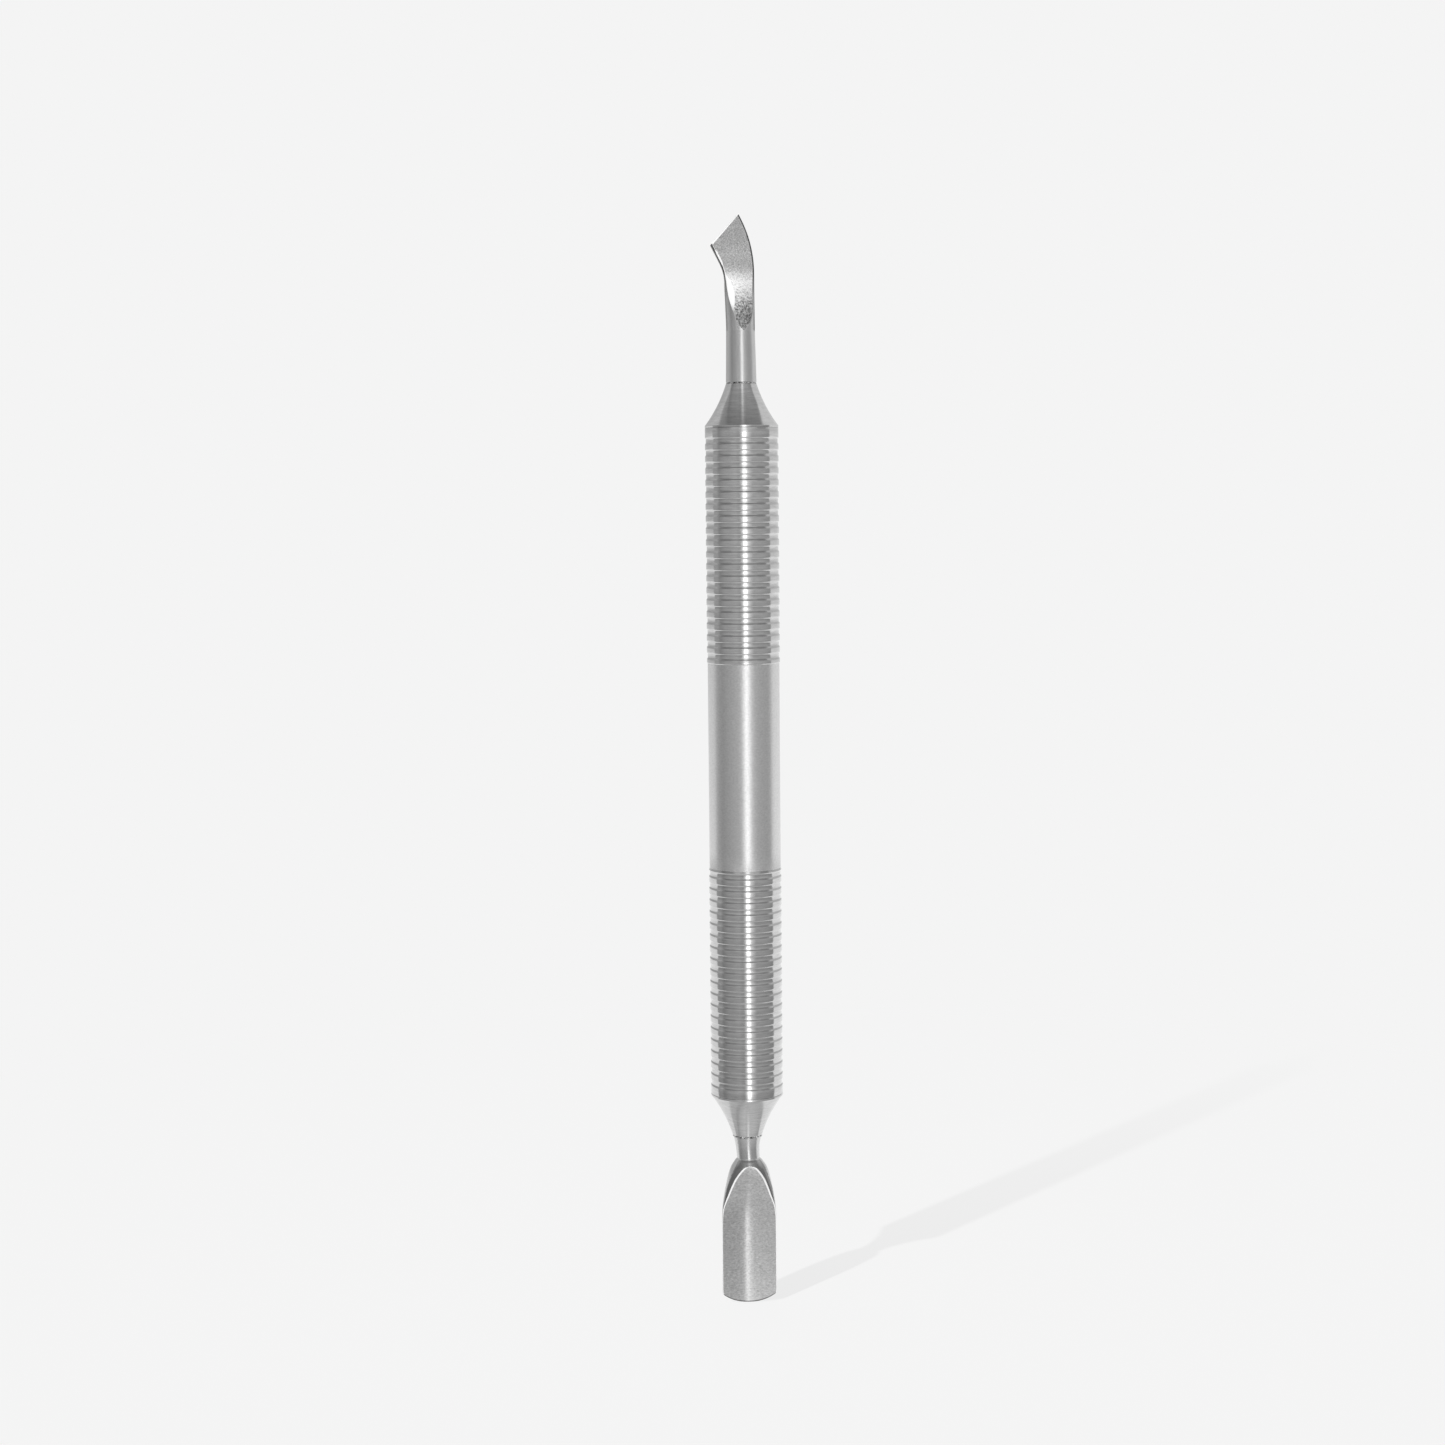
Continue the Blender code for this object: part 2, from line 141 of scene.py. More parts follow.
# Height, then width of the rounding along the left and the right edge of the blade's face. The left
# rounding is painted white as a painted highlight, the right one dark as painted shade.
BLADE_RIMS = (
    (53.0, 0.04, 0.06),
    (55.2, 0.06, 0.12),
    (55.9, 0.25, 0.14),
    (56.6, 0.55, 0.14),
    (57.6, 0.75, 0.14),
    (58.6, 0.56, 0.14),
    (59.4, 0.22, 0.14),
    (60.0, 0.05, 0.14),
    (60.6, 0.05, 0.14),
    (61.2, 0.14, 0.14),
    (62.2, 0.14, 0.14),
    (62.7, 0.03, 0.14),
    (67.3, 0.03, 0.12),
)
# Roundness of the valley in the middle of the blade's face.
BLADE_VALLEY = 2.0
# Where the scoop starts, from how far away the columns close in on that point, and the
# angle of that point round the shank.
SCOOP_START = 53.05 * MM
SCOOP_NEAR = 2.0 * MM
SCOOP_APEX = 9.0 * DEGREE
# Share of the half width within which the front of the body is a side wall, painted dark as painted
# shade.
BLADE_WALL_REACH = 0.99

# Pusher spoon
SPOON_END = -67.34 * MM
SPOON_TIP_RADIUS = 5.4 * MM
SPOON_TIP_START = -66.6 * MM
SPOON_BULGE_START = -62.0 * MM
SPOON_NECK_END = -49.5 * MM
SPOON_SHIFT = 0.14 * MM
SPOON_SHIFT_START = -47.5 * MM
SPOON_SHIFT_END = -51.0 * MM
SPOON_APEX_NEAR = 1.2 * MM
# The wall of the spoon, painted dark as painted shade, starts under the neck and then widens between
# two heights.
SPOON_WALL_START = -49.8 * MM
SPOON_WALL_NARROW = -51.2 * MM
SPOON_WALL_WIDE = -53.4 * MM
SPOON_WALL_REACH = (0.87, 0.96)
# Roundness of the valley in the middle of the spoon's face, and its place across it.
SPOON_VALLEY = 0.16
SPOON_VALLEY_PLACE = 0.457

# Section stations of the blade from its shoulder up:
# height, left half width, right half width, depth in front of the axis, depth behind it.
BLADE_BODY = (
    (46.9, 1.87, 1.87, 1.87, 1.87),
    (50.0, 1.83, 1.80, 1.80, 1.80),
    (53.2, 1.80, 1.72, 1.74, 1.72),
    (56.0, 1.88, 1.70, 1.62, 1.38),
    (58.75, 1.97, 1.69, 1.22, 0.95),
    (61.2, 1.97, 1.69, 1.35, 0.65),
    (64.0, 1.97, 1.69, 1.60, 0.55),
    (67.3, 1.97, 1.69, 1.70, 0.48),
)

# Blade face: height, depth in front of the axis, extra hollow in its middle,
# fall towards its right edge for each millimetre across.
BLADE_FACE = (
    (53.0, 1.80, 0.00, 0.15),
    (53.5, 1.67, -0.02, 0.17),
    (54.2, 1.47, -0.05, 0.19),
    (55.0, 1.27, -0.08, 0.23),
    (55.7, 1.10, -0.11, 0.24),
    (56.5, 0.92, -0.14, 0.18),
    (57.2, 0.78, -0.13, 0.11),
    (58.7, 0.56, -0.08, 0.05),
    (60.2, 0.45, -0.04, 0.06),
    (61.5, 0.46, 0.00, 0.08),
    (64.0, 0.46, 0.00, 0.08),
    (67.3, 0.42, 0.00, 0.08),
)

# Height, then grey of the blade's face, painted lighter and darker in bands as painted highlight and
# painted shade; then its roughness by height.
BLADE_FACE_PAINTED_LIGHT = (
    (53.0, 0.36),
    (54.6, 0.37),
    (55.6, 0.46),
    (56.8, 0.72),
    (57.6, 0.86),
    (59.0, 0.92),
    (60.2, 0.60),
    (61.0, 0.49),
    (62.2, 0.54),
    (64.2, 0.47),
    (67.4, 0.49),
)
BLADE_FACE_ROUGHNESS = ((53.0, 0.42), (56.0, 0.38), (58.5, 0.34), (61.0, 0.48), (67.4, 0.52))

# Section stations of the spoon from its shoulder down:
# height, half width, depth in front of the axis, depth behind it.
SPOON_BODY = (
    (-46.86, 1.74, 1.74, 1.74),
    (-47.6, 1.58, 1.58, 1.58),
    (-48.5, 1.46, 1.46, 1.46),
    (-49.6, 1.42, 1.42, 1.42),
    (-50.05, 1.74, 1.68, 1.62),
    (-50.8, 2.24, 1.94, 1.80),
    (-51.6, 2.54, 1.87, 1.88),
    (-53.2, 2.92, 1.50, 1.80),
    (-54.7, 3.20, 1.10, 1.60),
    (-56.2, 3.38, 0.88, 1.38),
    (-57.8, 3.43, 0.72, 1.15),
    (-60.0, 3.43, 0.55, 0.92),
    (-64.0, 3.43, 0.42, 0.66),
    (-66.6, 3.43, 0.36, 0.48),
    (-67.0, 3.40, 0.35, 0.45),
    (-67.22, 3.32, 0.34, 0.42),
    (-67.34, 3.18, 0.34, 0.40),
)

# Spoon face: height, depth of its edges in front of the axis, extra hollow in its middle.
SPOON_FACE = (
    (-50.4, 1.87, 0.00),
    (-50.8, 1.80, 0.03),
    (-51.6, 1.54, 0.11),
    (-52.6, 1.17, 0.23),
    (-54.1, 0.71, 0.37),
    (-55.3, 0.41, 0.44),
    (-56.4, 0.21, 0.48),
    (-57.5, 0.13, 0.50),
    (-58.8, 0.08, 0.50),
    (-60.0, 0.06, 0.50),
    (-64.0, 0.05, 0.46),
    (-67.8, 0.05, 0.37),
)

# Height, then width of the rounding along both edges of the spoon's face, painted white as a painted
# highlight.
SPOON_RIMS = ((-50.7, 0.14), (-54.5, 0.13), (-56.6, 0.07), (-58.0, 0.05), (-68.0, 0.05))

# Height, then grey of the spoon's face.
SPOON_FACE_TONES = ((-68.5, 0.53), (-56.0, 0.53), (-50.0, 0.55))

# Heights, then greys of the walls and edges of both ends. The walls are painted dark as painted shade,
# the edges white as a painted highlight.
BLADE_WALL_PAINTED_SHADE = ((53.0, 0.66), (57.0, 0.60), (58.8, 0.34), (60.0, 0.15), (68.0, 0.14))
BLADE_EDGE_PAINTED_HIGHLIGHT = ((53.0, 0.34), (55.2, 0.42), (56.2, 1.0), (68.0, 1.0))
SPOON_WALL_PAINTED_SHADE = (
    (-69.0, 0.16),
    (-67.0, 0.16),
    (-66.8, 0.42),
    (-57.5, 0.40),
    (-55.5, 0.32),
    (-50.6, 0.32),
    (-50.0, 0.44),
)
SPOON_RIM_PAINTED_HIGHLIGHT = ((-69.0, 1.0), (-50.0, 1.0))

# Camera
LENS = 65.0
SENSOR = 36.0
CAMERA_AIM = Vector((0.0, 0.0, 5.1 * MM))
CAMERA_DISTANCE = 322.5 * MM
CAMERA_AZIMUTH = -5.3 * DEGREE
CAMERA_PITCH = 5.18 * DEGREE
CAMERA_ROLL = -0.52 * DEGREE
CAMERA_SIDESTEP = 2.66 * MM

# Light
BACKGROUND = 0.905
KEY_AZIMUTH = -41.6 * DEGREE
KEY_ELEVATION = 34.5 * DEGREE
KEY_STRENGTH = 0.96
KEY_SPREAD = 1.2 * DEGREE
# Level of the even light that falls on the floor.
AMBIENT = 0.901
FLOOR_ALBEDO = 0.85
FLOOR_MOTTLE = 0.002
FLOOR_DROP = 0.02 * MM
FLOOR_SIZE = 40.0
# Distances from the tool's foot between which the floor turns into plain backdrop. The
# first is negative, so the change has begun at the foot already.
FLOOR_FADE_START = -150 * MM
FLOOR_FADE_END = 185 * MM

# The studio as the steel mirrors it. Azimuths in degrees from -Y towards +X, then levels.
FRONT_LEVELS = (
    (-180, 0.50),
    (-92, 0.46),
    (-84, 0.34),
    (-76, 0.38),
    (-64, 0.46),
    (-48, 0.49),
    (-26, 0.55),
    (-20, 0.50),
    (-12, 0.48),
    (18, 0.50),
    (26, 0.50),
    (34, 0.52),
    (48, 0.51),
    (60, 0.49),
    (74, 0.46),
    (84, 0.42),
    (90, 0.42),
    (180, 0.50),
)
STRIP_LEVELS = (
    (-12, 0.0),
    (-9, 0.30),
    (-5, 0.45),
    (-3, 1.50),
    (-1, 2.20),
    (6, 2.20),
    (8, 1.50),
    (10, 0.62),
    (16, 0.36),
    (22, 0.16),
    (28, 0.0),
)
# Elevations in degrees, then levels.
FRONT_RISE = (
    (-90, 1.35),
    (-50, 1.35),
    (-32, 1.05),
    (-18, 0.72),
    (-10, 0.86),
    (-3, 1.0),
    (9, 1.0),
    (14, 1.45),
    (28, 1.45),
    (34, 1.06),
    (38, 0.88),
    (58, 0.66),
    (76, 0.48),
    (90, 0.48),
)
STRIP_RISE = (
    (-78, 0.0),
    (-62, 0.14),
    (-45, 0.25),
    (-30, 0.45),
    (-16, 0.85),
    (-8, 1.0),
    (0.6, 1.0),
    (1.8, 0.34),
    (5, 0.34),
    (10, 0.46),
    (28, 0.50),
    (38, 0.34),
    (46, 0.25),
    (75, 0.10),
    (90, 0.0),
)
# The strip light has its middle at this azimuth and is wider a little above the horizon.
STRIP_MIDDLE = 2.5
STRIP_SPREAD = ((-90, 1.0), (-2, 1.0), (3, 1.3), (8, 1.3), (16, 1.0), (90, 1.0))
# Dark flags to the left and right, seen only a little above the horizon.
FLAG_SIDES = (
    (-180, 0.0),
    (-94, 0.0),
    (-84, 1.0),
    (-48, 1.0),
    (-36, 0.0),
    (38, 0.0),
    (48, 1.0),
    (72, 1.0),
    (82, 0.0),
    (180, 0.0),
)
FLAG_RISE = ((-90, 0.0), (5, 0.0), (11, 0.40), (32, 0.40), (38, 0.0), (90, 0.0))
# The white rear: its levels to the left and right of the tool.
LEFT_REAR_RISE = (
    (-90, 0.95),
    (-12, 0.98),
    (-7, 0.94),
    (-3, 0.72),
    (2, 0.56),
    (20, 0.56),
    (34, 0.68),
    (90, 0.70),
)
RIGHT_REAR_RISE = (
    (-90, 0.98),
    (-12, 1.04),
    (-7, 1.02),
    (-3, 0.86),
    (2, 0.76),
    (34, 0.80),
    (90, 0.82),
)
# The bearing of its middle, and the share of a direction along that bearing between which
# the front walls turn into it.
REAR_AZIMUTH = 171.0 * DEGREE
REAR_EDGE = (0.155, 0.225)
# How much further forward it reaches at some elevations.
REAR_REACH = ((-90, 0.0), (5, 0.0), (10, 0.32), (30, 0.32), (37, 0.0), (90, 0.0))


# -------- shared mesh code


def add_piece(name, node, slot, vertices, faces, materials, face_slots=None, sharp=28.0):
    """Make a visible piece that stands in for a node of the frame."""
    mesh = bpy.data.meshes.new(name)
    mesh.from_pydata(vertices, [], faces)
    for material in materials:
        mesh.materials.append(material)
    if face_slots:
        mesh.polygons.foreach_set("material_index", face_slots)
    mesh.shade_smooth()
    mesh.set_sharp_from_angle(angle=sharp * DEGREE)
    piece = bpy.data.objects.new(name, mesh)
    bpy.context.scene.collection.objects.link(piece)
    # Kept out of the floor's ambient light, so that no dark ring forms round the foot.
    piece.visible_diffuse = False
    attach(piece, "root")
    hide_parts(node)
    return piece


def turned(outline, segments=ROUND_SEGMENTS):
    """Vertices and faces of a closed outline of (radius, height) turned about Z."""
    count = len(outline)
    vertices = []
    for step in range(segments):
        angle = 2 * math.pi * step / segments
        for radius, height in outline:
            vertices.append((radius * math.cos(angle), radius * math.sin(angle), height))
    faces = []
    for step in range(segments):
        here = step * count
        there = ((step + 1) % segments) * count
        for point in range(count):
            following = (point + 1) % count
            faces.append((here + point, here + following, there + following, there + point))
    return vertices, faces


def column_slot(point, is_cut, right_rim_slot):
    """Material slot of a ring's column: body, working face, or the rim to its right or left."""
    past_rim = point - FACE_COLUMNS - RIM_COLUMNS
    if not is_cut or 0 <= past_rim < BODY_COLUMNS:
        return BODY_SLOT
    if point < FACE_COLUMNS:
        return FACE_SLOT
    return right_rim_slot if past_rim < 0 else PAINTED_HIGHLIGHT_SLOT


def is_wall(ring, point, reach):
    """Whether a point looks forwards and lies within the reach, a share of the half width."""
    left = min(ring)[0]
    right = max(ring)[0]
    x, y, z = ring[point]
    return y < 0 and abs(2 * x - left - right) < reach(z) * (right - left)


def skinned(rings, is_cut_row, reach, edge_rows, end_slots, right_rim_slot=PAINTED_HIGHLIGHT_SLOT):
    """Skin a stack of rings from bottom to top, close both ends and choose the slots.

    The few rows next to the bottom and the top have the slot of that end.
    """
    count = len(rings[0])
    vertices = [point for ring in rings for point in ring]
    faces = []
    slots = []
    for row in range(len(rings) - 1):
        for point in range(count):
            following = (point + 1) % count
            low = row * count
            high = low + count
            faces.append((low + point, low + following, high + following, high + point))
            slot = column_slot(point, is_cut_row(row), right_rim_slot)
            # Forward parts of the body within the reach take the wall's steel, painted dark as painted
            # shade.
            if slot == BODY_SLOT and is_wall(rings[row], point, reach):
                slot = PAINTED_SHADE_SLOT
            if row < edge_rows[0]:
                slot = end_slots[0]
            if row >= len(rings) - 1 - edge_rows[1]:
                slot = end_slots[1]
            slots.append(slot)
    bottom = [tuple(reversed(corner)) for corner in end_cap(vertices, 0, count)]
    top = end_cap(vertices, (len(rings) - 1) * count, count)
    faces += bottom + top
    slots += [end_slots[0]] * len(bottom) + [end_slots[1]] * len(top)
    return vertices, faces, slots


def end_cap(vertices, first, count):
    """Triangles between the front and back chains of a ring, from its left to its right."""
    ring = [first + i for i in range(count)]
    leftmost = min(range(count), key=lambda i: vertices[ring[i]][0])
    turned_ring = ring[leftmost:] + ring[:leftmost]
    rightmost = max(range(count), key=lambda i: vertices[turned_ring[i]][0])
    front = turned_ring[: rightmost + 1]
    back = [turned_ring[0]] + list(reversed(turned_ring[rightmost:]))
    triangles = []
    near = far = 0
    while near < len(front) - 1 or far < len(back) - 1:
        can_step_near = near < len(front) - 1 and front[near + 1] != back[far]
        can_step_far = far < len(back) - 1
        reach_near = vertices[front[near + 1]][0] if can_step_near else math.inf
        reach_far = vertices[back[far + 1]][0] if can_step_far else math.inf
        if reach_near == reach_far == math.inf:
            break
        if reach_near <= reach_far:
            corner = (front[near], front[near + 1], back[far])
            near += 1
        else:
            corner = (front[near], back[far + 1], back[far])
            far += 1
        if len(set(corner)) == 3:
            triangles.append(corner)
    return triangles


def station(stations, height):
    """Smoothly interpolate a table of stations given in millimetres."""
    rows = sorted(stations)
    value = height / MM
    if value <= rows[0][0]:
        return [number * MM for number in rows[0][1:]]
    if value >= rows[-1][0]:
        return [number * MM for number in rows[-1][1:]]
    index = max(i for i, row in enumerate(rows[:-1]) if row[0] <= value)
    result = []
    for column in range(1, len(rows[0])):
        result.append(hermite(rows, column, index, value) * MM)
    return result


def hermite(rows, column, index, value):
    """Cubic through the station values, with slopes that never overshoot."""

    def secant(i):
        return (rows[i + 1][column] - rows[i][column]) / (rows[i + 1][0] - rows[i][0])

    def slope(i):
        if i == 0:
            return secant(0)
        if i == len(rows) - 1:
            return secant(i - 1)
        before = secant(i - 1)
        after = secant(i)
        if before * after <= 0:
            return 0.0
        return 2 * before * after / (before + after)

    width = rows[index + 1][0] - rows[index][0]
    t = (value - rows[index][0]) / width
    low = rows[index][column]
    high = rows[index + 1][column]
    return (
        (2 * t**3 - 3 * t**2 + 1) * low
        + (t**3 - 2 * t**2 + t) * width * slope(index)
        + (3 * t**2 - 2 * t**3) * high
        + (t**3 - t**2) * width * slope(index + 1)
    )


def spread(start, end, count):
    """Evenly spaced places from start to end, both of them included."""
    return [start + (end - start) * i / count for i in range(count + 1)]


def eased(start, end, count):
    """Places after start up to end that lie closer together near the start."""
    return [start + (end - start) * (i / count) ** 2 for i in range(1, count + 1)]


def share_of(value, start, end):
    """How far a value has come from start to end, from 0 to 1."""
    return max(0.0, min(1.0, (value - start) / (end - start)))


def soft_step(share):
    return share * share * (3 - 2 * share)


# -------- handle and cones


def groove_lips():
    """Heights of the upper lip of every groove, from the top down."""
    upper = HALF_HANDLE - UPPER_END_LAND
    lower = -HALF_HANDLE + LOWER_END_LAND + GROOVE_WIDTH
    lips = [upper - i * GROOVE_PITCH for i in range(GROOVE_COUNT)]
    lips += [lower + i * GROOVE_PITCH for i in reversed(range(GROOVE_COUNT))]
    return lips


def groove(lip, steps=6):
    """A flat-bottomed groove with soft walls, from its upper lip to its lower lip."""
    foot = lip - GROOVE_WIDTH
    upper_wall = []
    lower_wall = []
    for share in spread(0, 1, steps):
        radius = HANDLE_RADIUS - GROOVE_DEPTH * soft_step(share)
        upper_wall.append((radius, lip - GROOVE_UPPER_WALL * share))
        lower_wall.append((radius, foot + GROOVE_LOWER_WALL * share))
    return upper_wall + lower_wall[::-1]


def land(high, low, steps=5):
    """The slightly crowned land between two grooves, without its end points."""
    points = []
    for step in range(1, steps):
        share = step / steps
        fall = LAND_CROWN * (2 * share - 1) ** 2
        points.append((HANDLE_RADIUS - fall, high + (low - high) * share))
    return points


def handle_outline():
    """Outer side from the top shoulder down, then the bore back up."""
    outline = rounded_shoulder(HALF_HANDLE, 1)
    for index, lip in enumerate(groove_lips()):
        walls = groove(lip)
        if index == GROOVE_COUNT:
            outline.append((HANDLE_RADIUS, BAND_TOP + BAND_STEP))
            outline += [(BAND_RADIUS, z) for z in spread(BAND_TOP, BAND_BOTTOM, 12)]
        elif index:
            outline += land(outline[-1][1], walls[0][1])
        outline += walls
    outline += reversed(rounded_shoulder(-HALF_HANDLE, -1))
    outline.append((BORE_RADIUS, -HALF_HANDLE))
    outline.append((BORE_RADIUS, HALF_HANDLE))
    return outline


def rounded_shoulder(end, side, steps=4):
    """The small rounding at an end of the tube, from its end face to its side."""
    points = []
    for step in range(steps + 1):
        turn = math.pi / 2 * step / steps
        radius = HANDLE_RADIUS - EDGE_ROUND * (1 - math.sin(turn))
        points.append((radius, end - side * EDGE_ROUND * (1 - math.cos(turn))))
    return points


def flare(steps=32):
    """Concave arc from the cone's rim in to its neck, as (radius, distance from the rim)."""
    start = (HANDLE_RADIUS, 0.0)
    end = (CONE_NECK_RADIUS, CONE_END - HALF_HANDLE - JOINT_GAP - CONE_RIM)
    chord = math.dist(start, end)
    lean = math.atan2(start[0] - end[0], end[1] - start[1])
    half_turn = math.asin(chord / (2 * CONE_FLARE_RADIUS))
    points = []
    for step in range(steps + 1):
        turn = -half_turn + 2 * half_turn * step / steps
        along = CONE_FLARE_RADIUS * (math.sin(turn) + math.sin(half_turn))
        inward = CONE_FLARE_RADIUS * (math.cos(turn) - math.cos(half_turn))
        radius = start[0] - along * math.sin(lean) - inward * math.cos(lean)
        height = along * math.cos(lean) - inward * math.sin(lean)
        points.append((radius, height))
    return points


def cone_outline():
    """Outline of the upper cone, from its neck down to the end of its spigot."""
    base = HALF_HANDLE + JOINT_GAP
    outline = [(radius, base + CONE_RIM + height) for radius, height in reversed(flare())]
    outline.append((HANDLE_RADIUS, base + EDGE_ROUND))
    outline.append((HANDLE_RADIUS - EDGE_ROUND / 3, base + EDGE_ROUND / 3))
    outline.append((HANDLE_RADIUS - EDGE_ROUND, base))
    spigot_radius = BORE_RADIUS - JOINT_GAP
    outline.append((spigot_radius, base))
    outline.append((spigot_radius, SPIGOT_END + SPIGOT_CHAMFER))
    outline.append((spigot_radius - SPIGOT_CHAMFER, SPIGOT_END))
    outline.append((TANG_RADIUS + JOINT_GAP, SPIGOT_END))
    outline.append((TANG_RADIUS + JOINT_GAP, CONE_END))
    return outline


def mirrored(outline):
    """The same outline turned end for end, still outer side first going down."""
    return [(radius, -height) for radius, height in reversed(outline)]


def seam(low, high, roughness, steps=10):
    """Braze ring with lumps in its outer side, which sink in by up to the roughness."""
    inner = TANG_RADIUS + JOINT_GAP
    outer = CONE_NECK_RADIUS - SEAM_INSET
    outline = [(outer, z) for z in spread(high, low, steps)]
    outline += [(inner, low), (inner, high)]
    vertices, faces = turned(outline, 2 * ROUND_SEGMENTS)
    uneven = []
    for x, y, z in vertices:
        radius = math.hypot(x, y)
        if radius > (inner + outer) / 2:
            bump = noise.noise(Vector((x, y, BRAZE_FLATNESS * z)) / BRAZE_LUMP)
            scale = 1 - roughness * (0.5 + bump) / radius
            x *= scale
            y *= scale
        uneven.append((x, y, z))
    return uneven, faces


# -------- blade and spoon


def body_point(half, front, back, angle):
    """Point of the uncut section; angle 0 is its front and a quarter turn its right side."""
    depth = front if math.cos(angle) > 0 else back
    return half * math.sin(angle), -depth * math.cos(angle)


def plain_angles(height, apex, reach, bearing=0.0):
    """Angles between which an uncut row has the face's columns, close together near the apex."""
    near = max(0.0, 1 - abs(height - apex) / reach)
    half = FRONT_HALF + (APEX_HALF - FRONT_HALF) * near
    return bearing * near - half, bearing * near + half


def cut_angles(place, half, front, back, face):
    """Angles at which the body meets the face surface on its left and right, or None."""

    def proud(angle):
        lateral, y = body_point(half, front, back, angle)
        x, z = place(lateral)
        return face(x, z, 0.0) - y

    # Start where the body stands farthest in front of the face, then close in on each side.
    summit = max(spread(-80 * DEGREE, 80 * DEGREE, 64), key=proud)
    if proud(summit) <= 0:
        return None
    limits = []
    for outside in (-89.5 * DEGREE, 89.5 * DEGREE):
        inside = summit
        for _ in range(40):
            middle = (inside + outside) / 2
            if proud(middle) > 0:
                inside = middle
            else:
                outside = middle
        limits.append(inside)
    return limits


def section_ring(left, right, front, back, face, plain=FRONT_QUARTER, rims=(0.0, 0.0)):
    """Ring between two outline points, its front cut by a face with a rounded rim.

    Where there is no cut, the columns of the face lie between the two plain angles.
    """
    centre = ((left[0] + right[0]) / 2, (left[1] + right[1]) / 2)
    half = math.dist(left, right) / 2
    along = ((right[0] - left[0]) / (2 * half), (right[1] - left[1]) / (2 * half))

    def place(lateral):
        return centre[0] + along[0] * lateral, centre[1] + along[1] * lateral

    def on_body(angle):
        lateral, y = body_point(half, front, back, angle)
        x, z = place(lateral)
        return x, y, z

    def on_face(start, end, across):
        x, z = place(start + (end - start) * across)
        return x, face(x, z, across), z

    cut = cut_angles(place, half, front, back, face) if face else None
    first, last = cut or plain
    start = body_point(half, front, back, first)[0]
    end = body_point(half, front, back, last)[0]
    width = end - start
    left_rim_width, right_rim_width = (min(rim, width / 4) for rim in rims)
    right_start = last + min(right_rim_width, RIM_REACH) / half
    left_end = 2 * math.pi + first - min(left_rim_width, RIM_REACH) / half

    ring = []
    for across in spread(left_rim_width / width, 1 - right_rim_width / width, FACE_COLUMNS):
        if cut:
            ring.append(on_face(start, end, across))
        else:
            ring.append(on_body(first + (last - first) * across))
    body = [on_body(angle) for angle in spread(right_start, left_end, BODY_COLUMNS)]
    right_rim = rim_points(ring[-1], on_body(last), body[0])
    left_rim = rim_points(body[-1], on_body(first), ring[0])
    return ring + right_rim + body + left_rim


def hollow_share(across, valley, place=0.5):
    """Share of a face's hollow at a place across it: flat sides and a rounded valley."""
    side = (across - place) / (1 - place) if across > place else (place - across) / place
    full = math.hypot(1, valley) - valley
    return 1 - (math.hypot(side, valley) - valley) / full


def rim_points(start, corner, end):
    """Points of a rounded corner between two points, without those two."""
    points = []
    for step in range(1, RIM_COLUMNS):
        t = step / RIM_COLUMNS
        weights = ((1 - t) ** 2, 2 * t * (1 - t), t**2)
        point = [sum(w * p[i] for w, p in zip(weights, (start, corner, end))) for i in range(3)]
        points.append(tuple(point))
    return points


def circle_ring(radius, height):
    return section_ring((-radius, height), (radius, height), radius, radius, None)


def left_outline(height):
    """Left edge of the blade: the neck, a concave arc, then a straight flank."""
    if height <= LEFT_FLARE_START:
        return -station(BLADE_BODY, height)[0]
    rise = height - LEFT_FLARE_START
    arc_rise = LEFT_FLARE_RADIUS * math.sin(LEFT_FLARE_ANGLE)
    if rise <= arc_rise:
        return -NECK_LEFT - LEFT_FLARE_RADIUS + math.sqrt(LEFT_FLARE_RADIUS**2 - rise**2)
    arc_run = LEFT_FLARE_RADIUS * (1 - math.cos(LEFT_FLARE_ANGLE))
    return -NECK_LEFT - arc_run - (rise - arc_rise) * math.tan(LEFT_FLARE_ANGLE)


def right_outline(height):
    """Right edge of the blade: the neck, then a convex sweep to the tip."""
    if height <= RIGHT_SWEEP_START:
        return station(BLADE_BODY, height)[1]
    rise = height - RIGHT_SWEEP_START
    return NECK_RIGHT - RIGHT_SWEEP_RADIUS + math.sqrt(RIGHT_SWEEP_RADIUS**2 - rise**2)


def blade_face(x, z, across):
    edge, hollow, fall = station(BLADE_FACE, z)
    return -edge + hollow * hollow_share(across, BLADE_VALLEY) + x * fall / MM


def bevelled_end(ring, left, right):
    """Lean the front of the last ring back, as if the cutting edge were ground from there."""
    length = math.dist(left, right)
    inward = ((right[1] - left[1]) / length, -(right[0] - left[0]) / length)
    front = min(point[1] for point in ring)
    leaned = []
    for x, y, z in ring:
        shift = EDGE_BEVEL * max(0.0, y / front)
        leaned.append((x + inward[0] * shift, y, z + inward[1] * shift))
    return leaned


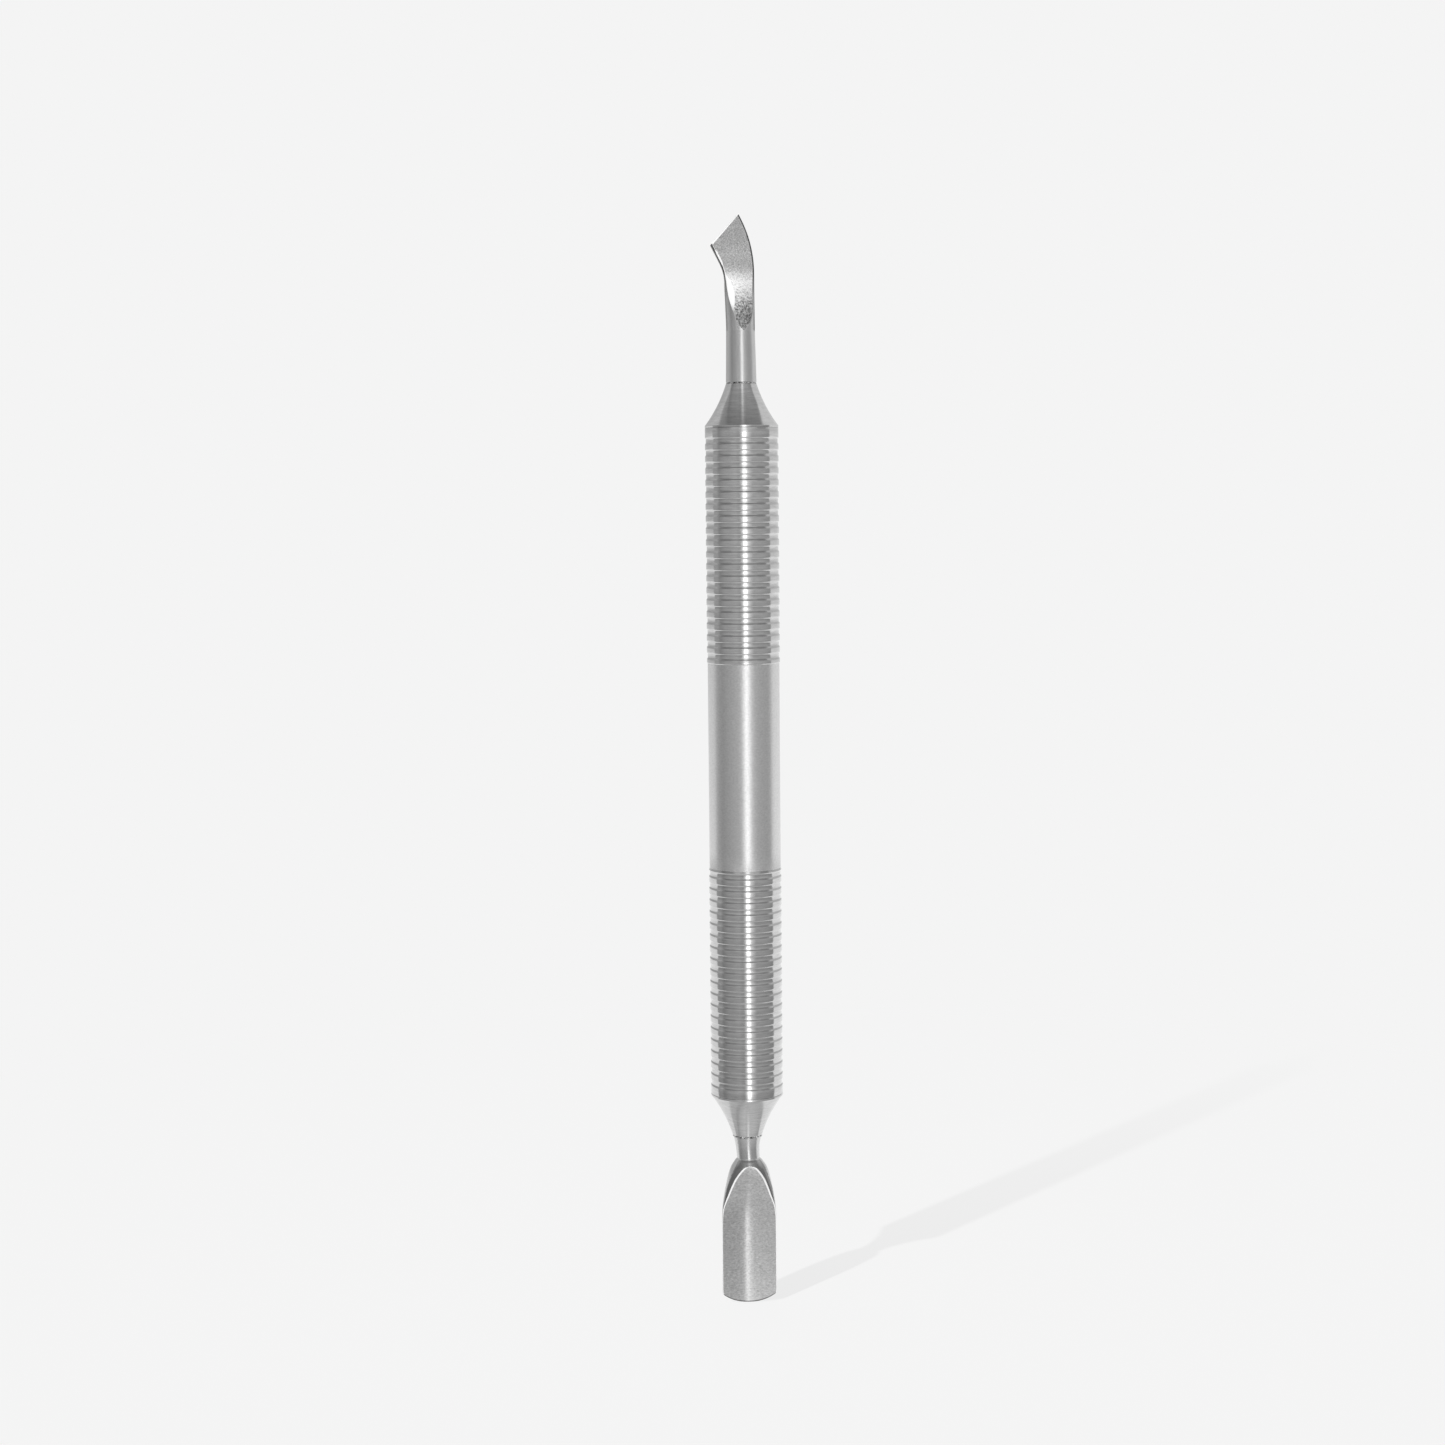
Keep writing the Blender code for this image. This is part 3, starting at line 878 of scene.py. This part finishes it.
def blade_rings():
    """Rings of the blade from its tang up, and the row where its face begins."""
    shoulder = BLADE_TANG_END + TANG_LENGTH
    rings = [
        circle_ring(TANG_RADIUS, BLADE_TANG_END),
        circle_ring(TANG_RADIUS, shoulder),
        circle_ring(SHANK_RADIUS - SHANK_EDGE, shoulder),
        circle_ring(SHANK_RADIUS, shoulder + SHANK_EDGE),
    ]
    heights = spread(shoulder + 2 * SHANK_EDGE, SCOOP_START, SHANK_ROWS)
    first_cut = len(rings) + len(heights)
    heights += eased(SCOOP_START, FAN_START - FAN_GAP, SCOOP_ROWS)
    for height in heights:
        left = (left_outline(height), height)
        right = (right_outline(height), height)
        front, back = station(BLADE_BODY, height)[2:]
        plain = plain_angles(height, SCOOP_START, SCOOP_NEAR, SCOOP_APEX)
        face = blade_face if height > SCOOP_START else None
        rims = station(BLADE_RIMS, height)
        rings.append(section_ring(left, right, front, back, face, plain, rims))
    for share in spread(0, 1, FAN_ROWS):
        low = FAN_START + (CORNER_HEIGHT - FAN_START) * share
        high = FAN_START + (TIP_HEIGHT - FAN_START) * share
        left = (left_outline(low), low)
        right = (right_outline(high), high)
        middle = (low + high) / 2
        front, back = station(BLADE_BODY, middle)[2:]
        rims = (station(BLADE_RIMS, low)[0], station(BLADE_RIMS, high)[1])
        rings.append(section_ring(left, right, front, back, blade_face, rims=rims))
    rings[-1] = bevelled_end(rings[-1], left, right)
    return rings, first_cut


def spoon_face(_, z, across):
    edge, hollow = station(SPOON_FACE, z)
    return -edge + hollow * hollow_share(across, SPOON_VALLEY, SPOON_VALLEY_PLACE)


def bulged(ring, half, height):
    """Bow a row of the spoon downwards so that the last one is the rounded tip."""
    share = share_of(height, SPOON_BULGE_START, SPOON_END) ** 2
    edge = math.sqrt(SPOON_TIP_RADIUS**2 - half**2)
    result = []
    for x, y, z in ring:
        across = min(half, abs(x - SPOON_SHIFT))
        full = math.sqrt(SPOON_TIP_RADIUS**2 - across**2) - edge
        result.append((x, y, z - full * share))
    return result


def spoon_rings():
    """Rings of the spoon from its tip up, and the row where its face has ended."""
    shoulder = SPOON_TANG_END - TANG_LENGTH
    apex = SPOON_FACE[0][0] * MM
    rings = [
        circle_ring(TANG_RADIUS, SPOON_TANG_END),
        circle_ring(TANG_RADIUS, shoulder),
    ]
    heights = spread(shoulder, SPOON_NECK_END, NECK_ROWS)
    heights += spread(SPOON_NECK_END, apex, SHOULDER_ROWS)[1:]
    plain_rows = len(rings) + len(heights)
    heights += eased(apex, SPOON_BULGE_START, BOWL_ROWS)
    heights += spread(SPOON_BULGE_START, SPOON_TIP_START, BULGE_ROWS)[1:]
    heights += spread(SPOON_TIP_START, SPOON_END, TIP_ROWS)[1:]
    for height in heights:
        half, front, back = station(SPOON_BODY, height)
        shift = share_of(height, SPOON_SHIFT_START, SPOON_SHIFT_END)
        middle = SPOON_SHIFT * soft_step(shift)
        sides = ((middle - half, height), (middle + half, height))
        plain = plain_angles(height, apex, SPOON_APEX_NEAR)
        rims = station(SPOON_RIMS, height) * 2
        ring = section_ring(*sides, front, back, spoon_face, plain, rims)
        rings.append(bulged(ring, half, height))
    return list(reversed(rings)), len(rings) - plain_rows


# -------- node helpers


def add_node(tree, kind, **settings):
    """A new node with some of its settings changed."""
    node = tree.nodes.new(kind)
    for name, value in settings.items():
        setattr(node, name, value)
    return node


def fill(tree, socket, value):
    """Link an output to a socket, or set the socket to a plain value."""
    if isinstance(value, bpy.types.NodeSocket):
        tree.links.new(value, socket)
    else:
        socket.default_value = value


def compute(tree, operation, *values):
    """Output of a maths node whose inputs are numbers or other outputs."""
    node = add_node(tree, "ShaderNodeMath", operation=operation)
    for socket, value in zip(node.inputs, values):
        fill(tree, socket, value)
    return node.outputs[0]


def curve(tree, place, points):
    """A number that follows points of place and level, as a value goes through the places."""
    low = points[0][0]
    high = points[-1][0]
    peak = max(level for _, level in points)
    spot = add_node(tree, "ShaderNodeMapRange")
    fill(tree, spot.inputs["Value"], place)
    spot.inputs["From Min"].default_value = low
    spot.inputs["From Max"].default_value = high
    ramp = add_node(tree, "ShaderNodeValToRGB")
    tree.links.new(spot.outputs[0], ramp.inputs[0])
    elements = ramp.color_ramp.elements
    elements.remove(elements[1])
    elements[0].position = 0.0
    for index, (at, level) in enumerate(points):
        element = elements[0] if index == 0 else elements.new((at - low) / (high - low))
        element.color = (*[level / peak] * 3, 1.0)
    return compute(tree, "MULTIPLY", ramp.outputs["Color"], peak)


def share_along(tree, coordinates, bearing):
    """Share of the looked-at direction that lies along a bearing."""
    dot = add_node(tree, "ShaderNodeVectorMath", operation="DOT_PRODUCT")
    tree.links.new(coordinates.outputs["Generated"], dot.inputs[0])
    dot.inputs[1].default_value = bearing
    return dot.outputs["Value"]


def soft_edge(tree, value, low, high):
    """A number that rises from 0 to 1 while a value goes from low to high."""
    edge = add_node(tree, "ShaderNodeMapRange", interpolation_type="SMOOTHSTEP")
    fill(tree, edge.inputs["Value"], value)
    edge.inputs["From Min"].default_value = low
    edge.inputs["From Max"].default_value = high
    return edge.outputs[0]


def blend_numbers(tree, share, first, second):
    """A number between two others, by a share from 0 to 1."""
    node = add_node(tree, "ShaderNodeMix")
    fill(tree, node.inputs[0], share)
    fill(tree, node.inputs[2], first)
    fill(tree, node.inputs[3], second)
    return node.outputs[0]


def speckle(tree, scale, detail=2.0, roughness=0.5):
    """Noise over the object whose grains have the given size in metres along x, y and z."""
    coordinates = add_node(tree, "ShaderNodeTexCoord")
    stretch = add_node(tree, "ShaderNodeVectorMath", operation="DIVIDE")
    tree.links.new(coordinates.outputs["Object"], stretch.inputs[0])
    stretch.inputs[1].default_value = scale
    grain = add_node(tree, "ShaderNodeTexNoise")
    grain.inputs["Scale"].default_value = 1.0
    grain.inputs["Detail"].default_value = detail
    grain.inputs["Roughness"].default_value = roughness
    tree.links.new(stretch.outputs[0], grain.inputs["Vector"])
    return grain.outputs[0]


def height_of(tree):
    """Height of the shaded point above the tool's middle, in millimetres."""
    coordinates = add_node(tree, "ShaderNodeTexCoord")
    split = add_node(tree, "ShaderNodeSeparateXYZ")
    tree.links.new(coordinates.outputs["Object"], split.inputs[0])
    return compute(tree, "DIVIDE", split.outputs["Z"], MM)


def steel(name, roughness):
    """A metal material, its node tree and its shader."""
    material = bpy.data.materials.new(name)
    material.use_nodes = True
    shader = material.node_tree.nodes["Principled BSDF"]
    shader.inputs["Metallic"].default_value = 1.0
    shader.inputs["Roughness"].default_value = roughness
    return material, material.node_tree, shader


def grey_between(tree, shader, share, dark, light):
    """Colour the steel between two greys by a share."""
    colour_grey(tree, shader, blend_numbers(tree, share, dark, light))


def colour_grey(tree, shader, level):
    colour = add_node(tree, "ShaderNodeCombineColor")
    for socket in colour.inputs:
        tree.links.new(level, socket)
    tree.links.new(colour.outputs[0], shader.inputs["Base Color"])


def relief(tree, shader, height, depth):
    """Raise the surface by a pattern, up to a depth in metres."""
    bump = add_node(tree, "ShaderNodeBump")
    bump.inputs["Strength"].default_value = 1.0
    bump.inputs["Distance"].default_value = depth
    tree.links.new(height, bump.inputs["Height"])
    tree.links.new(bump.outputs[0], shader.inputs["Normal"])


# -------- materials


def turned_steel(name, line_depth, roughness=0.12, greys=(0.40, 0.80)):
    """Bright steel with fine lines round it from the lathe."""
    material, tree, shader = steel(name, roughness)
    lines = speckle(tree, (2.2 * MM, 2.2 * MM, 0.15 * MM), detail=3.0)
    relief(tree, shader, lines, line_depth)
    streaks = speckle(tree, (1.8 * MM, 1.8 * MM, 0.26 * MM), detail=5.0, roughness=0.75)
    grey_between(tree, shader, streaks, *greys)
    return material


def satin_steel(name):
    """Finely brushed steel of the smooth band."""
    material, tree, shader = steel(name, 0.31)
    grain = speckle(tree, (0.30 * MM, 0.30 * MM, 0.16 * MM), detail=4.0, roughness=0.7)
    relief(tree, shader, grain, 0.0080 * MM)
    patches = speckle(tree, (0.30 * MM, 0.30 * MM, 0.20 * MM), detail=4.0, roughness=0.7)
    grey_between(tree, shader, patches, dark=0.50, light=0.86)
    return material


def polished_steel(name, roughness):
    """Polished steel with faint scratches along the tool."""
    material, tree, shader = steel(name, roughness)
    scratches = speckle(tree, (0.07 * MM, 0.07 * MM, 1.4 * MM), detail=3.0)
    relief(tree, shader, scratches, 0.0012 * MM)
    patches = speckle(tree, (0.5 * MM, 0.5 * MM, 2.0 * MM), detail=3.0)
    grey_between(tree, shader, patches, dark=0.57, light=0.66)
    return material


def painted_highlight_steel(name, tones):
    """Edge painted a bright matte white that scatters light every way: a painted highlight, its grey
    set by height.
    """
    material, tree, shader = steel(name, 0.35)
    shader.inputs["Metallic"].default_value = 0.2
    wear = speckle(tree, (0.2 * MM, 0.2 * MM, 0.3 * MM), detail=3.0)
    relief(tree, shader, wear, 0.002 * MM)
    tone = curve(tree, height_of(tree), tones)
    dark = compute(tree, "MULTIPLY", tone, 0.88)
    light = compute(tree, "MULTIPLY", tone, 0.99)
    grey_between(tree, shader, wear, dark, light)
    return material


def painted_shade_steel(name, tones):
    """Side wall painted dark as painted shade, with its grey at some heights in millimetres."""
    material, tree, shader = steel(name, 0.26)
    # A dark specular tint dims the wall's reflections as well, more painted shade.
    shader.inputs["Specular Tint"].default_value = (0.12, 0.12, 0.12, 1.0)
    scratches = speckle(tree, (0.10 * MM, 0.10 * MM, 0.9 * MM), detail=3.0)
    relief(tree, shader, scratches, 0.002 * MM)
    tone = curve(tree, height_of(tree), tones)
    dark = compute(tree, "MULTIPLY", tone, 0.85)
    light = compute(tree, "MULTIPLY", tone, 1.15)
    grey_between(tree, shader, scratches, dark, light)
    return material


def blasted_steel(name):
    """Matte blasted steel of the blade's face, coarser low in the scoop, with painted highlight and
    painted shade in bands by height.
    """
    material, tree, shader = steel(name, 0.42)
    fine = speckle(tree, (0.15 * MM,) * 3, detail=2.0, roughness=0.8)
    coarse = speckle(tree, (0.23 * MM,) * 3, detail=2.0, roughness=0.8)
    height = height_of(tree)
    low_down = curve(tree, height, ((53.0, 1.0), (56.2, 1.0), (59.0, 0.15), (67.0, 0.0)))
    grain = blend_numbers(tree, low_down, fine, coarse)
    depth = blend_numbers(tree, low_down, 0.6, 2.2)
    relief(tree, shader, compute(tree, "MULTIPLY", grain, depth), 0.012 * MM)
    rough = curve(tree, height, BLADE_FACE_ROUGHNESS)
    tree.links.new(rough, shader.inputs["Roughness"])
    # Grey by height: painted highlight and painted shade in bands along the face.
    tone = curve(tree, height, BLADE_FACE_PAINTED_LIGHT)
    strength = blend_numbers(tree, low_down, 2.2, 5.0)
    swing = compute(tree, "SUBTRACT", grain, 0.5)
    swing = compute(tree, "MULTIPLY_ADD", swing, strength, 1.0)
    colour_grey(tree, shader, compute(tree, "MULTIPLY", tone, swing))
    return material


def brushed_steel(name):
    """Steel of the spoon's face, brushed across it."""
    material, tree, shader = steel(name, 0.30)
    strokes = speckle(tree, (0.9 * MM, 0.9 * MM, 0.10 * MM), detail=4.0, roughness=0.65)
    relief(tree, shader, strokes, 0.0042 * MM)
    patches = speckle(tree, (0.34 * MM, 0.34 * MM, 0.20 * MM), detail=4.0, roughness=0.85)
    tone = curve(tree, height_of(tree), SPOON_FACE_TONES)
    swing = curve(tree, patches, ((0.3, 0.66), (0.7, 1.36)))
    colour_grey(tree, shader, compute(tree, "MULTIPLY", tone, swing))
    return material


def braze(name):
    """Rough, darker joint metal."""
    material, tree, shader = steel(name, 0.35)
    lumps = speckle(tree, (0.22 * MM,) * 3, detail=4.0, roughness=0.7)
    relief(tree, shader, lumps, 0.03 * MM)
    grey_between(tree, shader, soft_edge(tree, lumps, 0.42, 0.58), dark=0.05, light=1.0)
    return material


# -------- the pieces


def handle_slot(outline, face):
    """Slot of a face of the tube: the smooth band, a groove's lower wall, painted darker as painted
    shade, or the rest.
    """
    points = [outline[corner % len(outline)] for corner in face]
    low = min(points, key=lambda point: point[1])
    high = max(points, key=lambda point: point[1])
    if BAND_BOTTOM < (low[1] + high[1]) / 2 < BAND_TOP:
        return BAND_SLOT
    is_lower_wall = low[0] > high[0] + LOWER_WALL_STEP
    return PAINTED_SHADE_GROOVE_SLOT if is_lower_wall else GROOVED_SLOT


def build_handle():
    lathe = turned_steel("handle_turned", line_depth=0.0065 * MM)
    satin = satin_steel("handle_satin")
    # The grooves' lower walls take a darker steel as painted shade.
    lower_wall = turned_steel("handle_groove_wall_painted_shade", line_depth=0.0065 * MM, greys=(0.32, 0.66))
    outline = handle_outline()
    vertices, faces = turned(outline)
    slots = [handle_slot(outline, face) for face in faces]
    materials = [lathe, satin, lower_wall]
    add_piece("handle", "handle_tube", "handle_steel", vertices, faces, materials, slots)


def build_cones():
    lathe = turned_steel("cone_turned", line_depth=0.0020 * MM, roughness=0.15)
    upper = cone_outline()
    for name, node, outline in (
        ("cone_upper", "upper_cone", upper),
        ("cone_lower", "lower_cone", mirrored(upper)),
    ):
        add_piece(name, node, "cone_steel", *turned(outline), [lathe])


def build_seams():
    material = braze("braze_metal")
    upper = seam(UPPER_SEAM_LOW, UPPER_SEAM_HIGH, roughness=0.01 * MM)
    lower = seam(LOWER_SEAM_LOW, LOWER_SEAM_HIGH, roughness=0.12 * MM)
    add_piece("seam_upper", "upper_seam_braze", "seam_braze", *upper, [material])
    add_piece("seam_lower", "lower_seam_braze", "seam_braze", *lower, [material])


def blade_painted_shade_reach(height):
    """Share of the half width that has the wall's material, dark as painted shade: none below the
    scoop.
    """
    return BLADE_WALL_REACH if height > BLADE_FACE[0][0] * MM else 0.0


def spoon_painted_shade_reach(height):
    """Share of the half width that has the wall's material, dark as painted shade: none above the
    wall's start.
    """
    if height > SPOON_WALL_START:
        return 0.0
    narrow, wide = SPOON_WALL_REACH
    return narrow + (wide - narrow) * share_of(height, SPOON_WALL_NARROW, SPOON_WALL_WIDE)


def build_blade():
    rings, first_cut = blade_rings()
    # The top rows, the ground cutting edge, are painted white as a painted highlight; the right rim is
    # painted dark as painted shade.
    vertices, faces, slots = skinned(
        rings,
        is_cut_row=lambda row: row >= first_cut,
        reach=blade_painted_shade_reach,
        edge_rows=(0, 1),
        end_slots=(BODY_SLOT, PAINTED_HIGHLIGHT_SLOT),
        right_rim_slot=PAINTED_SHADE_SLOT,
    )
    materials = [
        polished_steel("blade_polished", 0.26),
        blasted_steel("blade_blasted"),
        painted_highlight_steel("blade_edge_painted_highlight", BLADE_EDGE_PAINTED_HIGHLIGHT),
        painted_shade_steel("blade_wall_painted_shade", BLADE_WALL_PAINTED_SHADE),
    ]
    add_piece("blade", "scraper_blade", "blade_steel", vertices, faces, materials, slots)


def build_spoon():
    rings, first_plain = spoon_rings()
    # The rows at the tip and the tip's cap are painted dark as painted shade.
    vertices, faces, slots = skinned(
        rings,
        is_cut_row=lambda row: row < first_plain,
        reach=spoon_painted_shade_reach,
        edge_rows=(4, 0),
        end_slots=(PAINTED_SHADE_SLOT, BODY_SLOT),
    )
    materials = [
        polished_steel("spoon_polished", 0.24),
        brushed_steel("spoon_brushed"),
        painted_highlight_steel("spoon_rim_painted_highlight", SPOON_RIM_PAINTED_HIGHLIGHT),
        painted_shade_steel("spoon_wall_painted_shade", SPOON_WALL_PAINTED_SHADE),
    ]
    add_piece("spoon", "pusher_spoon", "spoon_steel", vertices, faces, materials, slots)


# -------- camera and light


def direction(azimuth, elevation):
    """Unit vector; azimuth 0 is -Y and a quarter turn is +X."""
    return Vector((
        math.sin(azimuth) * math.cos(elevation),
        -math.cos(azimuth) * math.cos(elevation),
        math.sin(elevation),
    ))


def place_camera():
    data = bpy.data.cameras.new("camera")
    data.lens = LENS
    data.sensor_width = SENSOR
    data.clip_start = 10 * MM
    data.clip_end = 2 * FLOOR_SIZE
    camera = bpy.data.objects.new("camera", data)
    bpy.context.scene.collection.objects.link(camera)
    back = direction(CAMERA_AZIMUTH, CAMERA_PITCH)
    turn = (-back).to_track_quat("-Z", "Y") @ Quaternion((0, 0, 1), CAMERA_ROLL)
    camera.rotation_mode = "QUATERNION"
    camera.rotation_quaternion = turn
    sidestep = turn @ Vector((-CAMERA_SIDESTEP, 0, 0))
    camera.location = CAMERA_AIM + back * CAMERA_DISTANCE + sidestep
    bpy.context.scene.camera = camera


def pattern(tree, azimuth, across, elevation, rise):
    """Product of a curve by azimuth and a curve by elevation."""
    return compute(tree, "MULTIPLY", curve(tree, azimuth, across), curve(tree, elevation, rise))


def light_studio():
    """Surrounding light that the steel mirrors, and a uniform pale backdrop behind it."""
    world = bpy.data.worlds.new("studio")
    bpy.context.scene.world = world
    world.use_nodes = True
    tree = world.node_tree
    tree.nodes.clear()
    coordinates = add_node(tree, "ShaderNodeTexCoord")
    split = add_node(tree, "ShaderNodeSeparateXYZ")
    tree.links.new(coordinates.outputs["Generated"], split.inputs[0])
    forward = compute(tree, "MULTIPLY", split.outputs["Y"], -1.0)
    azimuth = compute(tree, "ARCTAN2", split.outputs["X"], forward)
    azimuth = compute(tree, "DIVIDE", azimuth, DEGREE)
    elevation = compute(tree, "ARCSINE", split.outputs["Z"])
    elevation = compute(tree, "DIVIDE", elevation, DEGREE)

    front = pattern(tree, azimuth, FRONT_LEVELS, elevation, FRONT_RISE)
    is_right = compute(tree, "GREATER_THAN", azimuth, 0.0)
    rear = blend_numbers(
        tree, is_right, curve(tree, elevation, LEFT_REAR_RISE), curve(tree, elevation, RIGHT_REAR_RISE)
    )
    rear_share = share_along(tree, coordinates, direction(REAR_AZIMUTH, 0.0))
    rear_share = compute(tree, "ADD", rear_share, curve(tree, elevation, REAR_REACH))
    is_rear = soft_edge(tree, rear_share, *REAR_EDGE)
    walls = blend_numbers(tree, is_rear, front, rear)
    from_middle = compute(tree, "SUBTRACT", azimuth, STRIP_MIDDLE)
    from_middle = compute(tree, "DIVIDE", from_middle, curve(tree, elevation, STRIP_SPREAD))
    across = compute(tree, "ADD", from_middle, STRIP_MIDDLE)
    strip = pattern(tree, across, STRIP_LEVELS, elevation, STRIP_RISE)
    flag = pattern(tree, azimuth, FLAG_SIDES, elevation, FLAG_RISE)
    studio = compute(tree, "ADD", walls, strip)
    studio = compute(tree, "MULTIPLY", studio, compute(tree, "SUBTRACT", 1.0, flag))

    path = add_node(tree, "ShaderNodeLightPath")
    level = blend_numbers(tree, path.outputs["Is Glossy Ray"], AMBIENT, studio)
    level = blend_numbers(tree, path.outputs["Is Camera Ray"], level, BACKGROUND)
    light = add_node(tree, "ShaderNodeBackground")
    tree.links.new(level, light.inputs["Color"])
    output = add_node(tree, "ShaderNodeOutputWorld")
    tree.links.new(light.outputs[0], output.inputs["Surface"])


def add_key_light():
    """Sun lamp from the front left that lays a faint shadow on the floor."""
    data = bpy.data.lights.new("key", "SUN")
    data.energy = KEY_STRENGTH
    data.angle = KEY_SPREAD
    key = bpy.data.objects.new("key", data)
    bpy.context.scene.collection.objects.link(key)
    towards = direction(KEY_AZIMUTH, KEY_ELEVATION)
    key.rotation_mode = "QUATERNION"
    key.rotation_quaternion = towards.to_track_quat("Z", "Y")
    key.location = towards
    key.visible_glossy = False


def lay_floor():
    """Pale matte floor that turns into the backdrop's grey away from the tool."""
    material = bpy.data.materials.new("paper")
    material.use_nodes = True
    tree = material.node_tree
    tree.nodes.clear()
    matte = add_node(tree, "ShaderNodeBsdfDiffuse")
    fibres = speckle(tree, (4 * MM,) * 3)
    shade = blend_numbers(tree, fibres, FLOOR_ALBEDO - FLOOR_MOTTLE, FLOOR_ALBEDO + FLOOR_MOTTLE)
    tree.links.new(shade, matte.inputs["Color"])
    glow = add_node(tree, "ShaderNodeEmission")
    glow.inputs["Color"].default_value = (BACKGROUND, BACKGROUND, BACKGROUND, 1.0)
    coordinates = add_node(tree, "ShaderNodeTexCoord")
    distance = add_node(tree, "ShaderNodeVectorMath", operation="LENGTH")
    tree.links.new(coordinates.outputs["Object"], distance.inputs[0])
    fade = add_node(tree, "ShaderNodeMapRange")
    tree.links.new(distance.outputs["Value"], fade.inputs["Value"])
    fade.inputs["From Min"].default_value = FLOOR_FADE_START
    fade.inputs["From Max"].default_value = FLOOR_FADE_END
    mix = add_node(tree, "ShaderNodeMixShader")
    tree.links.new(fade.outputs[0], mix.inputs[0])
    tree.links.new(matte.outputs[0], mix.inputs[1])
    tree.links.new(glow.outputs[0], mix.inputs[2])
    output = add_node(tree, "ShaderNodeOutputMaterial")
    tree.links.new(mix.outputs[0], output.inputs["Surface"])

    half = FLOOR_SIZE / 2
    corners = [(-half, -half, 0), (half, -half, 0), (half, half, 0), (-half, half, 0)]
    mesh = bpy.data.meshes.new("floor")
    mesh.from_pydata(corners, [], [(0, 1, 2, 3)])
    mesh.materials.append(material)
    floor = bpy.data.objects.new("floor", mesh)
    bpy.context.scene.collection.objects.link(floor)
    floor.location.z = FLOOR_HEIGHT - FLOOR_DROP
    floor.visible_glossy = False


build_handle()
build_cones()
build_seams()
build_blade()
build_spoon()
place_camera()
light_studio()
add_key_light()
lay_floor()
bpy.context.scene.view_settings.view_transform = "Standard"
